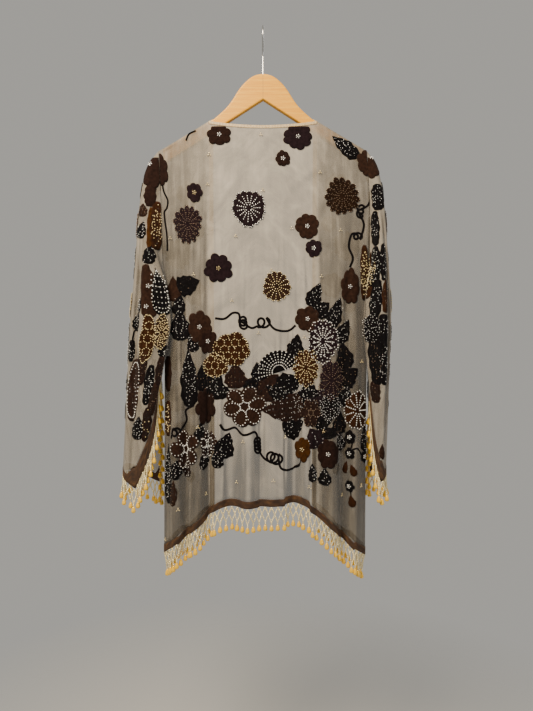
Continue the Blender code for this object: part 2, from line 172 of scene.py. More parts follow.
for point, (x, z, handle) in zip(spline.bezier_points, outline):
    point.co = (x, z, 0.0)
    point.handle_left_type = point.handle_right_type = handle
board_object = bpy.data.objects.new("board", board)
board_object.rotation_euler.x = math.pi / 2
bpy.context.scene.collection.objects.link(board_object)
hanger = plain_mesh(board_object, "hanger_board")
for polygon in hanger.data.polygons:
    polygon.use_smooth = abs(polygon.normal.y) < 0.98
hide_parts("hanger")

# Beech under clear varnish: pale honey, with straight grain about 2 mm apart down each arm from the joint
GRAIN_TURN = (0, 0.55, 0)
GLUE_HALF = 0.0004
beech, tree, shader = new_finish(
    "varnished_beech", Roughness=0.42, Specular_IOR_Level=0.25, Coat_Weight=0.12, Coat_Roughness=0.15
)
place = add_node(tree, "ShaderNodeTexCoord").outputs["Object"]
halves = add_node(tree, "ShaderNodeVectorMath", {"operation": "ABSOLUTE"}, _0=place)
along = add_node(tree, "ShaderNodeMapping", Vector=halves, Rotation=GRAIN_TURN, Scale=(12, 60, 330))
grain = add_node(tree, "ShaderNodeTexNoise", Vector=along, Scale=1.0, Detail=5.0, Roughness=0.6)
flecks = add_node(tree, "ShaderNodeMapping", Vector=halves, Rotation=GRAIN_TURN, Scale=(120, 400, 1500))
fleck = add_node(tree, "ShaderNodeTexNoise", Vector=flecks, Scale=1.0, Detail=2.0)
tone = add_node(tree, "ShaderNodeMath", {"operation": "MULTIPLY_ADD"}, _0=fleck, _1=0.25, _2=grain)
colour = add_ramp(tree, tone, (0.35, "#d68f22"), (0.62, "#e8a329"), (0.9, "#f6bb40"))
across = add_node(tree, "ShaderNodeSeparateXYZ", Vector=place).outputs["X"]
aside = add_node(tree, "ShaderNodeMath", {"operation": "ABSOLUTE"}, _0=across)
glue = add_node(tree, "ShaderNodeMath", {"operation": "LESS_THAN"}, _0=aside, _1=GLUE_HALF)
joined = add_node(tree, "ShaderNodeMix", {"data_type": "RGBA"}, Factor=glue, _6=colour, _7=linear("#a97b45"))
feed(shader, Base_Color=joined.outputs[2])
add_dents(tree, shader, tone, 0.12, 0.0004)
hanger.data.materials.clear()
hanger.data.materials.append(beech)


# Hook: bright plated steel wire, bent round over the rail and let into the top of the board.
# Its shank rises straight, then leans back into the bend.
WIRE = 0.0038
HOOK_INNER = 0.019
HOOK_SHANK_TOP_Z = -0.062
HOOK_START_ANGLE = 215
HOOK_TIP_ANGLE = -30
HOOK_LEAN = 0.8
HOOK_SEAT = 0.0005


def smooth_tube(name, path, radius, sides=12):
    """A round tube along a path of points, with its ends closed flat."""
    wire = bpy.data.curves.new(name, "CURVE")
    wire.dimensions = "3D"
    wire.bevel_depth = radius
    wire.bevel_resolution = sides // 4
    wire.use_fill_caps = True
    line = wire.splines.new("POLY")
    line.points.add(len(path) - 1)
    for point, place in zip(line.points, path):
        point.co = (*place, 1.0)
    made = bpy.data.objects.new(name, wire)
    bpy.context.scene.collection.objects.link(made)
    made = plain_mesh(made, name)
    made.data.shade_smooth()
    return made


ring = HOOK_INNER + WIRE / 2
turns = np.radians(np.linspace(HOOK_START_ANGLE, HOOK_TIP_ANGLE, 60))
bend_over = np.stack((0 * turns, ring * np.cos(turns), ring * np.sin(turns) - HOOK_INNER), -1)
start = turns[0]
pull = ring * HOOK_LEAN
controls = np.array((
    (0, 0, HOOK_SHANK_TOP_Z),
    (0, 0, HOOK_SHANK_TOP_Z + pull),
    bend_over[0] - pull * np.array((0, math.sin(start), -math.cos(start))),
    bend_over[0],
))
share = np.linspace(0, 1, 24)[:-1, None]
weights = np.hstack(((1 - share) ** 3, 3 * share * (1 - share) ** 2, 3 * share**2 * (1 - share), share**3))
wire_path = np.vstack(((0, 0, HANGER_TOP_Z + HOOK_SEAT), weights @ controls, bend_over))
hook = smooth_tube("hook_wire", wire_path, WIRE / 2)
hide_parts("hanger_hook")

# Bright nickel plate over drawn wire: mirror grey, faint drawing marks along it
nickel, tree, shader = new_finish("plated_steel_wire", Metallic=1.0, Base_Color=linear("#c9c7c3"))
place = add_node(tree, "ShaderNodeTexCoord").outputs["Object"]
marks = add_node(tree, "ShaderNodeTexNoise", Vector=place, Scale=900.0, Detail=3.0)
feed(shader, Roughness=add_node(tree, "ShaderNodeMapRange", Value=marks, To_Min=0.12, To_Max=0.3))
hook.data.materials.append(nickel)


# Body cloth: sheer silk georgette with the burn-out velvet in it, cut in a back and two fronts.
# It is sewn at the shoulders and sides, hangs from the hanger's arms, and falls in soft upright folds.
SHOULDER_ROUND = 0.009
NECK_SAG = 0.0087
NOMINAL_HALF = 0.200
FRONT_EDGE = 0.110
HEM_Z = -0.949
HEM_FLAT = 0.085
HEM_SLOPE = 0.86
HEM_SOFTNESS = 0.012
STEP_HALF = 0.0016
SIDE_ROUND = 0.045
UNDERARM_Z = -0.515
ARMHOLE_HALF = 0.0145
SEAM_GAP = 0.0005
SEAM_HALF = 0.0005
BORDER = 0.014
BINDING = 0.006
FRONT_BINDING = 0.009
GEORGETTE = 0.0005
MID_Z = -0.60
TO_BACK, TO_FRONT = np.array((0.0, -1.0, 0.0)), np.array((0.0, 1.0, 0.0))
SIDES = (("left", -1), ("right", 1))

BodyLevel = namedtuple("BodyLevel", "z left right depth")
BODY = (
    BodyLevel(-0.245, -0.2070, 0.2060, 0.0090),
    BodyLevel(-0.350, -0.2010, 0.2110, 0.0125),
    BodyLevel(-0.515, -0.1980, 0.2110, 0.0190),
    BodyLevel(-0.750, -0.1970, 0.2065, 0.0260),
    BodyLevel(-1.050, -0.1980, 0.2045, 0.0310),
)
Fold = namedtuple("Fold", "x half_width out start_z")
BACK_FOLDS = (
    Fold(-0.172, 0.016, 0.009, -0.52),
    Fold(-0.151, 0.013, -0.014, -0.60),
    Fold(-0.129, 0.016, 0.008, -0.50),
    Fold(-0.106, 0.014, -0.014, -0.55),
    Fold(-0.064, 0.022, -0.009, -0.62),
    Fold(-0.028, 0.024, 0.012, -0.60),
    Fold(0.018, 0.020, 0.004, -0.66),
    Fold(0.061, 0.022, -0.015, -0.62),
    Fold(0.092, 0.015, 0.007, -0.58),
    Fold(0.134, 0.020, 0.010, -0.50),
    Fold(0.158, 0.014, -0.017, -0.52),
    Fold(0.182, 0.014, 0.008, -0.55),
)
FRONT_FOLDS = (
    Fold(-0.172, 0.018, 0.010, -0.50),
    Fold(-0.145, 0.016, -0.013, -0.45),
    Fold(-0.118, 0.018, 0.008, -0.55),
    Fold(0.119, 0.018, 0.009, -0.50),
    Fold(0.147, 0.016, -0.014, -0.48),
    Fold(0.178, 0.018, 0.009, -0.55),
)
# Where a fold laps over the next, the hem jumps by a few millimetres
HemStep = namedtuple("HemStep", "x rise")
HEM_STEPS = (
    HemStep(-0.166, -0.004),
    HemStep(-0.110, 0.004),
    HemStep(-0.044, -0.0015),
    HemStep(-0.008, 0.0020),
    HemStep(0.043, 0.0045),
    HemStep(0.091, -0.0055),
    HemStep(0.147, -0.0040),
    HemStep(0.178, 0.0050),
)
# Creases laid on the back: soft pulls from the hanger's ends and slack across the shoulder blades
Crease = namedtuple("Crease", "x0 z0 x1 z1 half_width out")
BACK_CREASES = (
    Crease(-0.185, -0.275, -0.070, -0.420, 0.016, -0.0022),
    Crease(-0.150, -0.262, -0.020, -0.360, 0.015, 0.0018),
    Crease(0.185, -0.275, 0.085, -0.430, 0.016, -0.0022),
    Crease(0.140, -0.258, 0.030, -0.340, 0.014, 0.0018),
    Crease(-0.120, -0.300, -0.118, -0.720, 0.010, 0.0024),
    Crease(-0.160, -0.330, -0.158, -0.760, 0.010, -0.0022),
    Crease(0.110, -0.320, 0.112, -0.700, 0.010, 0.0022),
    Crease(0.170, -0.330, 0.166, -0.720, 0.011, -0.0024),
    Crease(-0.050, -0.440, -0.046, -0.800, 0.012, 0.0018),
    Crease(0.040, -0.420, 0.042, -0.820, 0.012, -0.0020),
    Crease(-0.085, -0.640, -0.084, -0.940, 0.007, 0.0022),
    Crease(0.000, -0.700, -0.002, -0.945, 0.007, -0.0022),
    Crease(0.078, -0.660, 0.076, -0.945, 0.006, 0.0024),
    Crease(-0.140, -0.640, -0.141, -0.990, 0.006, 0.0020),
    Crease(0.118, -0.600, 0.119, -0.970, 0.006, -0.0022),
    Crease(-0.186, -0.560, -0.187, -1.020, 0.006, -0.0018),
    Crease(-0.110, -0.560, -0.109, -0.990, 0.0042, -0.0034),
    Crease(-0.006, -0.720, -0.006, -0.960, 0.0040, -0.0028),
    Crease(0.043, -0.740, 0.043, -0.960, 0.0040, -0.0030),
    Crease(0.089, -0.700, 0.088, -0.970, 0.0042, -0.0032),
    Crease(0.147, -0.600, 0.146, -1.000, 0.0045, -0.0036),
    Crease(-0.166, -0.500, -0.166, -0.960, 0.0042, -0.0030),
    Crease(-0.077, -0.800, -0.077, -0.970, 0.0038, 0.0026),
)
FRONT_CREASES = (
    Crease(-0.132, -0.300, -0.130, -0.800, 0.009, 0.0022),
    Crease(-0.160, -0.330, -0.158, -0.900, 0.009, -0.0022),
    Crease(0.132, -0.300, 0.130, -0.820, 0.009, 0.0022),
    Crease(0.163, -0.330, 0.161, -0.900, 0.009, -0.0022),
)
# Ranges of the small creases
CREASE_TOP = (-0.86, -0.27)
CREASE_SLANT = 0.006
CREASE_FALL = (0.10, 0.30)
CREASE_HALF = (0.0035, 0.0065)
CREASE_OUT = (0.0006, 0.0015)


def fine_creases(seed, count, inner_x, outer_x):
    """Small upright creases at random places from the shoulders to the hem, as limp silk hangs."""
    chance = np.random.default_rng(seed)
    x, top = chance.uniform(inner_x, outer_x, count), chance.uniform(*CREASE_TOP, count)
    slant, fall = chance.normal(0, CREASE_SLANT, count), chance.uniform(*CREASE_FALL, count)
    half = chance.uniform(*CREASE_HALF, count)
    out = chance.choice((-1, 1), count) * chance.uniform(*CREASE_OUT, count)
    return tuple(map(Crease, x, top, x + slant, top - fall, half, out))


BACK_CREASES += fine_creases(3, 70, -0.192, 0.200)
FRONT_CREASES += fine_creases(5, 24, 0.112, 0.195) + fine_creases(6, 24, -0.192, -0.112)


def mix(a, b, share):
    return a + (b - a) * share


def ease(share):
    share = np.clip(share, 0.0, 1.0)
    return share * share * (3 - 2 * share)


def bump(offset):
    """A soft ridge, 1 at its middle and 0 from one half width out."""
    return np.cos(np.clip(offset, -1, 1) * math.pi / 2) ** 2


def body_level(z, column):
    return np.interp(-z, [-level.z for level in BODY], [getattr(level, column) for level in BODY])


def side_x(x, z):
    """The body's edge on the side that x is on."""
    return np.where(x < 0, body_level(z, "left"), body_level(z, "right"))


def hem_z(x):
    beyond = np.abs(x) - HEM_FLAT
    jumps = sum(step.rise * ease((x - step.x) / (2 * STEP_HALF) + 0.5) for step in HEM_STEPS)
    return HEM_Z - HEM_SLOPE * (beyond + np.hypot(beyond, HEM_SOFTNESS)) / 2 + jumps


def panel_top_z(side, x):
    """Where a body wall starts to hang straight: under the shoulder's rounding, or at the back neck."""
    neck = NECK_Z - SHOULDER_ROUND - NECK_SAG * (1 - (x / NECK_HALF) ** 2)
    return np.where((side > 0) | (np.abs(x) >= NECK_HALF), shoulder_z(x) - SHOULDER_ROUND, neck)


def body_x(column, z):
    share = np.clip((np.abs(column) - NECK_HALF) / (NOMINAL_HALF - NECK_HALF), 0, 1)
    outer = mix(np.sign(column) * NECK_HALF, side_x(column, z), share)
    return np.where(np.abs(column) <= NECK_HALF, column, outer)


TIP_Z = shoulder_z(BODY[0].left)


def armhole_half(z):
    """Half the armhole's opening at height z: round at the shoulder, closing to the side seam."""
    below = TIP_Z - z
    cap = np.sqrt(np.clip(SHOULDER_ROUND**2 - (SHOULDER_ROUND - below) ** 2, 0, None))
    middle = (TIP_Z + UNDERARM_Z) / 2
    upper = mix(SHOULDER_ROUND, ARMHOLE_HALF, ease((below - SHOULDER_ROUND) / (TIP_Z - middle)))
    lower = ARMHOLE_HALF * np.sqrt(1 - np.clip((middle - z) / (middle - UNDERARM_Z), 0, 1) ** 2)
    half = np.where(below < SHOULDER_ROUND, cap, np.where(z > middle, upper, lower))
    return np.maximum(half, np.where(z > middle, 0, SEAM_HALF))


def body_out(side, x, z):
    """How far a body wall stands out from y = 0 at a place."""
    folds, creases = (FRONT_FOLDS, FRONT_CREASES) if side > 0 else (BACK_FOLDS, BACK_CREASES)
    inset = np.clip(np.abs(side_x(x, z) - x) / SIDE_ROUND, 0, 1)
    rounding = np.sqrt(1 - (1 - inset) ** 2)
    out = mix(armhole_half(z), body_level(z, "depth"), rounding)
    for fold in folds:
        grown = ease((fold.start_z - z) / (fold.start_z - HEM_Z))
        out = out + fold.out * grown * bump((x - fold.x) / fold.half_width) * rounding
    for crease in creases:
        run = np.array((crease.x1 - crease.x0, crease.z1 - crease.z0))
        length = np.hypot(*run)
        run = run / length
        along = ((x - crease.x0) * run[0] + (z - crease.z0) * run[1]) / length
        aside = (x - crease.x0) * run[1] - (z - crease.z0) * run[0]
        out = out + crease.out * bump(aside / crease.half_width) * bump(2 * along - 1) * rounding
    return out


def body_points(side, columns, rows):
    """Points of a body wall for rows of shares from its top to its hem."""
    column, row = np.broadcast_arrays(columns[None, :], rows)
    x = body_x(column, MID_Z)
    for _ in range(2):
        z = mix(panel_top_z(side, x), hem_z(x), row)
        x = body_x(column, z)
    z = mix(panel_top_z(side, x), hem_z(x), row)
    return np.stack((x, side * body_out(side, x, z), z), -1)


def shoulder_points(side, columns, degrees):
    angle = np.radians(degrees)[:, None]
    x = np.broadcast_to(body_x(columns, BODY[0].z)[None, :], (len(degrees), len(columns)))
    out = np.maximum(SEAM_HALF, SHOULDER_ROUND * np.sin(angle)) + 0 * x
    return np.stack((x, side * out, shoulder_z(x) - SHOULDER_ROUND * (1 - np.cos(angle))), -1)


def hem_rows(side, columns, height):
    """The row that lies this height above the hem, in each column."""
    x = body_x(columns, MID_Z)
    return 1 - height / (panel_top_z(side, x) - hem_z(x))


def lengths_along(points, axis):
    steps = np.linalg.norm(np.diff(points, axis=axis), axis=-1)
    zero = np.zeros_like(np.take(steps, [0], axis))
    return np.concatenate((zero, np.cumsum(steps, axis)), axis)


def cloth_piece(name, points, outward, finish, closed=False, keep=None, thick=GEORGETTE, doubled=1.0):
    """A thin shell of cloth through rows of points, with its flat lie in metres as its UV map.

    outward is a direction, or a middle that the cloth goes round, and turns its faces the right way.
    The last argument is painted shade, 1 where the cloth is painted darkest: over another layer, in folds and
    along seams.
    """
    rows, columns = points.shape[:2]
    around = columns - 1 if closed else columns
    index = np.arange(rows * around).reshape(rows, around)
    if closed:
        index = np.hstack((index, index[:, :1]))
    faces = np.stack((index[:-1, :-1], index[1:, :-1], index[1:, 1:], index[:-1, 1:]), -1)
    across = np.broadcast_to(lengths_along(points, 1).mean(0), (rows, columns))
    lie = np.stack((across, -lengths_along(points, 0)), -1)
    corner = np.stack((lie[:-1, :-1], lie[1:, :-1], lie[1:, 1:], lie[:-1, 1:]), 2)
    used = np.ones(faces.shape[:2], bool) if keep is None else keep
    faces, corner = faces[used], corner[used]
    flat = points[:, :around].reshape(-1, 3)
    first = flat[faces[:, 0]]
    normal = np.cross(flat[faces[:, 1]] - first, flat[faces[:, 3]] - first)
    away = np.broadcast_to(outward, first.shape) if np.ndim(outward) == 1 else first - outward(first)
    if (normal * away).sum() < 0:
        faces, corner = faces[:, ::-1], corner[:, ::-1]
    needed = np.unique(faces)
    renumber = np.zeros(len(flat), int)
    renumber[needed] = np.arange(len(needed))
    shape = bpy.data.meshes.new(name)
    shape.from_pydata(flat[needed].tolist(), [], renumber[faces].tolist())
    shape.uv_layers.new(name="lie").data.foreach_set("uv", corner.reshape(-1))
    shade_amount = np.broadcast_to(doubled, points.shape[:2])[:, :around].reshape(-1)[needed]
    painted_shade_attribute = shape.attributes.new("doubled", "FLOAT", "POINT")
    painted_shade_attribute.data.foreach_set("value", np.ascontiguousarray(shade_amount, np.float32))
    shape.shade_smooth()
    piece = add_piece(name, shape)
    shape.materials.append(finish)
    wall = piece.modifiers.new("cloth", "SOLIDIFY")
    wall.thickness = thick
    wall.offset = 0.0
    return piece


# Silk georgette: crinkled crepe yarns about 0.3 mm apart, drawn at 1.4 mm so that they show at all;
# a warm grey that lets light through, cloudy where the yarns crowd, and painted with shade where two sheets
# lie together, in folds and along seams
georgette, tree, shader = new_finish(
    "silk_georgette", Roughness=0.72, Sheen_Weight=0.2, Sheen_Roughness=0.45
)
lie = add_node(tree, "ShaderNodeUVMap", {"uv_map": "lie"})
shade_amount = add_node(tree, "ShaderNodeAttribute", {"attribute_name": "doubled"}).outputs["Fac"]
upright = add_node(tree, "ShaderNodeMapping", Vector=lie, Scale=(70, 7, 1))
streak = add_node(tree, "ShaderNodeTexNoise", Vector=upright, Scale=1.0, Detail=5.0, Roughness=0.6)
cloud = add_node(
    tree, "ShaderNodeTexNoise", Vector=lie, Scale=24.0, Detail=5.0, Roughness=0.6, Distortion=0.6
)
pull = add_node(tree, "ShaderNodeMapRange", Value=shade_amount, To_Min=0.25, To_Max=0.75)
both = add_node(tree, "ShaderNodeMix", {"data_type": "FLOAT"}, Factor=pull, _2=cloud, _3=streak)
single = add_ramp(tree, both, (0.32, "#978c7b"), (0.50, "#aca190"), (0.68, "#c2b7a5"))
# The cloth's colours in painted shade, mixed in by the painted shade attribute
shaded_cloth = add_ramp(tree, both, (0.32, "#4c463c"), (0.50, "#665e51"), (0.68, "#93897a"))
colour = add_node(tree, "ShaderNodeMix", {"data_type": "RGBA"}, Factor=shade_amount, _6=single, _7=shaded_cloth)
density = add_node(
    tree, "ShaderNodeMapRange", Value=both, From_Min=0.3, From_Max=0.7, To_Min=0.42, To_Max=0.58
)
feed(shader, Base_Color=colour.outputs[2], Alpha=density)
yarns = add_node(tree, "ShaderNodeMapping", Vector=lie, Scale=(700, 700, 1))
crepe = add_node(tree, "ShaderNodeTexNoise", Vector=yarns, Scale=1.0, Detail=2.0)
add_dents(tree, shader, crepe, 0.25, 0.0006)

OVER = np.array((0.0, 12.0, 25.0, 38.0, 52.0, 66.0, 79.0))
DOWN = np.linspace(0, 1, 133)[:, None]
SIDE_COLUMNS = 49
left_side = np.linspace(-NOMINAL_HALF, -NECK_HALF, SIDE_COLUMNS)
neck_span = np.linspace(-NECK_HALF, NECK_HALF, 109)
back_columns = np.concatenate((left_side, neck_span[1:], -left_side[::-1][1:]))
# Painted shade on the back: darker over a front's layer, in steep or gathered folds, lower down, and along
# the side seams
Shade = namedtuple("Shade", "share start span")
FRONT_SHADE = 0.40
FRONT_LAYER = Shade(1.00, FRONT_EDGE - 0.004, 0.008)
TOWARD_SIDE = Shade(0.25, FRONT_EDGE, 0.075)
BELOW_SHOULDER = Shade(0.25, 0.26, 0.20)
LOW_FOLDS = Shade(0.30, 0.70, 0.22)
STEEP_FOLDS = Shade(0.75, 0.12, 0.60)
SIDE_SEAM = Shade(0.60, -0.014, 0.012)
BELOW_ARMHOLE = Shade(1.00, 0.40, 0.10)
# Painted shade laid evenly over both fronts
FRONT_PAINTED_SHADE = 0.6


def front_columns(sign):
    return np.linspace(sign * FRONT_EDGE, sign * NOMINAL_HALF, SIDE_COLUMNS)


def panel_points(side, columns):
    down = DOWN * hem_rows(side, columns, BORDER + SEAM_GAP)[None, :]
    return np.vstack((shoulder_points(side, columns, OVER), body_points(side, columns, down)))


def shade(kind, value):
    return kind.share * ease((value - kind.start) / kind.span)


def back_shade_amount(points):
    """How much painted shade each place of the back gets, from 0 to 1."""
    x, z = points[..., 0], points[..., 2]
    off = np.abs(x)
    fronts = FRONT_SHADE + shade(TOWARD_SIDE, off) + shade(BELOW_SHOULDER, -z)
    steep = np.abs(np.gradient(points[..., 1], axis=1) / np.gradient(x, axis=1))
    steep[: len(OVER) + 2] = 0
    folds = shade(LOW_FOLDS, -z) + shade(STEEP_FOLDS, steep)
    seam = shade(SIDE_SEAM, -np.abs(x - side_x(x, z))) * shade(BELOW_ARMHOLE, -z)
    return np.clip(shade(FRONT_LAYER, off) * fronts + folds + seam, 0, 1)


back_points = panel_points(-1, back_columns)
outside_neck = np.ones((len(back_points) - 1, len(back_columns) - 1), bool)
outside_neck[: len(OVER), len(left_side) - 1 : len(left_side) + len(neck_span) - 2] = False
back = cloth_piece(
    "back_cloth", back_points, TO_BACK, georgette, keep=outside_neck, doubled=back_shade_amount(back_points)
)
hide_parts("back_panel")
for name, sign in SIDES:
    points = panel_points(1, front_columns(sign))
    cloth_piece(f"front_cloth_{name}", points, TO_FRONT, georgette, doubled=FRONT_PAINTED_SHADE)
    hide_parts(f"front_panel_{name}")


# Sleeves: the same georgette, wide tubes set into the armholes, hanging in deep upright folds.
# The cuff is cut on a slant and peaks on the inside of the arm.
ARMHOLE_GAP = 0.0009
CUFF_GAP = 0.0009
OVAL_POWER = 0.80
LAP_ANGLE = 52
LAP_HALF_ANGLE = 45
CUFF_PEAK = 0.85
CUFF_PEAK_ANGLE = 20
CUFF_FOOT_ANGLE = 40
CUFF_STEEP = 2.8
SLEEVE_ROWS = (6, 6, 8, 10, 12, 14, 14, 60)
SLEEVE_EASING = 30
SLEEVE_SHADE = 0.32

SleeveLevel = namedtuple("SleeveLevel", "outer_x outer_z inner_x inner_z half_depth crease")
Groove = namedtuple("Groove", "angle half_angle share")
Sleeve = namedtuple("Sleeve", "name sign lap levels cuff grooves")
Cuff = namedtuple(
    "Cuff", "outer_x inner_x half_depth crease low_z high_z outer_lift half_angle front_half_angle"
)
SLEEVES = (
    Sleeve(
        "left",
        -1,
        0.036,
        (
            SleeveLevel(0.2220, -0.2590, 0.2015, -0.5120, 0.0180, 0.00),
            SleeveLevel(0.2345, -0.2830, 0.2025, -0.5150, 0.0245, 0.10),
            SleeveLevel(0.2420, -0.3230, 0.2030, -0.5180, 0.0310, 0.25),
            SleeveLevel(0.2480, -0.3750, 0.2035, -0.5240, 0.0360, 0.45),
            SleeveLevel(0.2510, -0.4350, 0.2040, -0.5350, 0.0400, 0.65),
            SleeveLevel(0.2560, -0.5050, 0.2040, -0.5600, 0.0420, 0.85),
            SleeveLevel(0.2630, -0.5800, 0.2045, -0.6000, 0.0450, 1.00),
        ),
        Cuff(0.2770, 0.2060, 0.0500, 0.20, -0.9170, -0.6760, 0.030, 92, 28),
        (Groove(58, 24, 0.26), Groove(113, 24, 0.32), Groove(238, 28, 0.26), Groove(300, 24, 0.28)),
    ),
    Sleeve(
        "right",
        1,
        0.028,
        (
            SleeveLevel(0.2200, -0.2585, 0.2160, -0.5120, 0.0190, 0.00),
            SleeveLevel(0.2310, -0.2830, 0.2165, -0.5150, 0.0270, 0.10),
            SleeveLevel(0.2380, -0.3230, 0.2165, -0.5180, 0.0345, 0.25),
            SleeveLevel(0.2420, -0.3750, 0.2160, -0.5240, 0.0415, 0.45),
            SleeveLevel(0.2450, -0.4350, 0.2155, -0.5350, 0.0470, 0.65),
            SleeveLevel(0.2500, -0.5050, 0.2150, -0.5600, 0.0510, 0.85),
            SleeveLevel(0.2525, -0.5800, 0.2145, -0.6000, 0.0540, 1.00),
        ),
        Cuff(0.2425, 0.2135, 0.0470, 0.10, -0.9000, -0.7400, 0.018, 82, 30),
        (Groove(62, 26, 0.28), Groove(118, 24, 0.28), Groove(236, 28, 0.28), Groove(304, 24, 0.26)),
    ),
)


def turn_between(angle, degrees):
    return (np.degrees(angle) - degrees + 180) % 360 - 180


def in_grooves(angle, grooves):
    return sum(g.share * bump(turn_between(angle, g.angle) / g.half_angle) for g in grooves)


def sleeve_ring(sleeve, level, angle):
    """Points of a sleeve at one level. Angle 0 is the inner edge, a quarter turn is the back."""
    across = (1 - np.cos(angle)) / 2
    bulge = np.abs(np.sin(angle)) ** OVAL_POWER * (1 - level.crease * in_grooves(angle, sleeve.grooves))
    lap = sleeve.lap * level.crease * bump(turn_between(angle, LAP_ANGLE) / LAP_HALF_ANGLE)
    x = sleeve.sign * (mix(level.inner_x, level.outer_x, across) - lap)
    y = -np.sign(np.sin(angle)) * level.half_depth * bulge
    return np.stack((x, y, mix(level.inner_z, level.outer_z, across)), -1)


def armhole_ring(sleeve, angle):
    z = mix(UNDERARM_Z, TIP_Z, (1 - np.cos(angle)) / 2)
    x = body_level(z, "left" if sleeve.sign < 0 else "right") + sleeve.sign * ARMHOLE_GAP
    return np.stack((x, -np.sign(np.sin(angle)) * armhole_half(z), z), -1)


def cuff_edge(sleeve, angle, above=0.0):
    """The slanted cuff edge. above is square to it."""
    cuff = sleeve.cuff
    level = SleeveLevel(cuff.outer_x, 0.0, cuff.inner_x, 0.0, cuff.half_depth, cuff.crease)
    edge = sleeve_ring(sleeve, level, angle)
    foot = np.where(turn_between(angle, 0) > 0, cuff.half_angle, cuff.front_half_angle)
    turn = np.abs(turn_between(angle, 0))
    low = cuff.low_z + cuff.outer_lift * ((1 - np.cos(angle)) / 2) ** 2
    z = mix(low, cuff.high_z, 1 - np.minimum(1, turn / foot) ** CUFF_PEAK)
    past_foot = (foot + CUFF_FOOT_ANGLE - turn) / CUFF_FOOT_ANGLE
    on_slope = ease(turn / CUFF_PEAK_ANGLE) * ease(past_foot)
    edge[..., 2] = z + above * mix(1.0, CUFF_STEEP, on_slope)
    return edge


RING = np.linspace(0, math.tau, 129)
# Painted shade on the sleeves: along the inner edge by the body, and in a fold just past the back
SLEEVE_PAINTED_SHADOWS = (Groove(20, 50, 0.55), Groove(113, 14, 0.30))


def sleeve_points(sleeve):
    """Rows of points from the armhole to the cuff border, eased between the sleeve's levels."""
    stations = [armhole_ring(sleeve, RING)] + [sleeve_ring(sleeve, level, RING) for level in sleeve.levels]
    stations.append(cuff_edge(sleeve, RING, BORDER + CUFF_GAP))
    rows = []
    for upper, lower, count in zip(stations, stations[1:], SLEEVE_ROWS):
        rows += [mix(upper, lower, i / count) for i in range(count)]
    points = np.array(rows + [stations[-1]])
    for _ in range(SLEEVE_EASING):
        points[1:-1] = (points[:-2] + 2 * points[1:-1] + points[2:]) / 4
    return points


sleeve_cloth = {}
for sleeve in SLEEVES:
    points = sleeve_points(sleeve)
    middles = points[:, :-1].mean(1)

    def middle(place, middles=middles):
        return middles[np.abs(middles[None, :, 2] - place[:, None, 2]).argmin(1)]

    # Painted shade on the sleeve: a share all round, more in its shaded folds
    sleeve_shade_amount = SLEEVE_SHADE + in_grooves(RING, SLEEVE_PAINTED_SHADOWS)
    made = cloth_piece(
        f"sleeve_cloth_{sleeve.name}", points, middle, georgette, closed=True, doubled=sleeve_shade_amount
    )
    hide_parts(f"sleeve_{sleeve.name}")
    sleeve_cloth[sleeve.name] = made


# Bindings: narrow folded strips of plain silk sewn over the back neck and down both front edges.
# Each lies just off the cloth's own edge, and follows its folds.
BINDING_THICK = 0.0014
BINDING_ROWS = 5
TOP_ROW, HEM_ROW = np.zeros((1, 1)), np.ones((1, 1))

# Silk satin strip: pale tan with a soft shine, and stitches that show as small dents across it
satin, tree, shader = new_finish("silk_binding", Roughness=0.5, Sheen_Weight=0.4, Sheen_Roughness=0.3)
lie = add_node(tree, "ShaderNodeUVMap", {"uv_map": "lie"})
slub = add_node(tree, "ShaderNodeTexNoise", Vector=lie, Scale=350.0, Detail=3.0)
feed(shader, Base_Color=add_ramp(tree, slub, (0.3, "#b1946a"), (0.7, "#d5bc90")))
stitches = add_node(tree, "ShaderNodeTexWave", Vector=lie, Scale=52.0, Distortion=1.0)
add_dents(tree, shader, stitches, 0.3, 0.0005)

ends = NECK_HALF - SEAM_GAP
neck_columns = np.linspace(-ends, ends, len(neck_span))
lower = body_points(-1, neck_columns, TOP_ROW)[0] + (0, 0, SEAM_GAP)
strip = np.array([lower + (0, 0, BINDING * share) for share in np.linspace(1, 0, BINDING_ROWS)])
neck_binding = cloth_piece("neck_binding_strip", strip, TO_BACK, satin, thick=BINDING_THICK)
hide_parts("neck_binding")
for name, sign in SIDES:
    near = sign * (FRONT_EDGE - SEAM_GAP)
    columns = np.linspace(near - sign * FRONT_BINDING, near, BINDING_ROWS)
    strip = np.vstack((panel_points(1, columns), body_points(1, columns, HEM_ROW)))
    made = cloth_piece(f"front_binding_strip_{name}", strip, TO_FRONT, satin, thick=BINDING_THICK)
    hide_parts(f"front_binding_{name}")


# Velvet borders: bands of brown silk velvet sewn along the hem and the cuffs.
# They go on from the cloth's last row, and the fringe hangs from their lower edge.
BORDER_THICK = 0.0016
BORDER_ROWS = np.linspace(1, 0, 7)

# Silk velvet pile about 1 mm deep: nearly black where one looks into it, a brown sheen where it lies over
brown_velvet, tree, shader = new_finish(
    "brown_silk_velvet", Roughness=0.85, Sheen_Weight=0.5, Sheen_Roughness=0.35, Sheen_Tint=linear("#8a6034")
)
lie = add_node(tree, "ShaderNodeUVMap", {"uv_map": "lie"})
brushed = add_node(tree, "ShaderNodeMapping", Vector=lie, Scale=(60, 120, 1))
nap = add_node(tree, "ShaderNodeTexNoise", Vector=brushed, Scale=1.0, Detail=4.0)
feed(shader, Base_Color=add_ramp(tree, nap, (0.3, "#21140b"), (0.55, "#422a15"), (0.8, "#664623")))
tufts = add_node(tree, "ShaderNodeTexNoise", Vector=lie, Scale=1400.0, Detail=1.0)
add_dents(tree, shader, tufts, 0.4, 0.0008)


def hem_border(name, side, columns):
    rows = np.array([hem_rows(side, columns, BORDER * share) for share in BORDER_ROWS])
    points = body_points(side, columns, rows)
    return cloth_piece(name, points, side * TO_FRONT, brown_velvet, thick=BORDER_THICK)


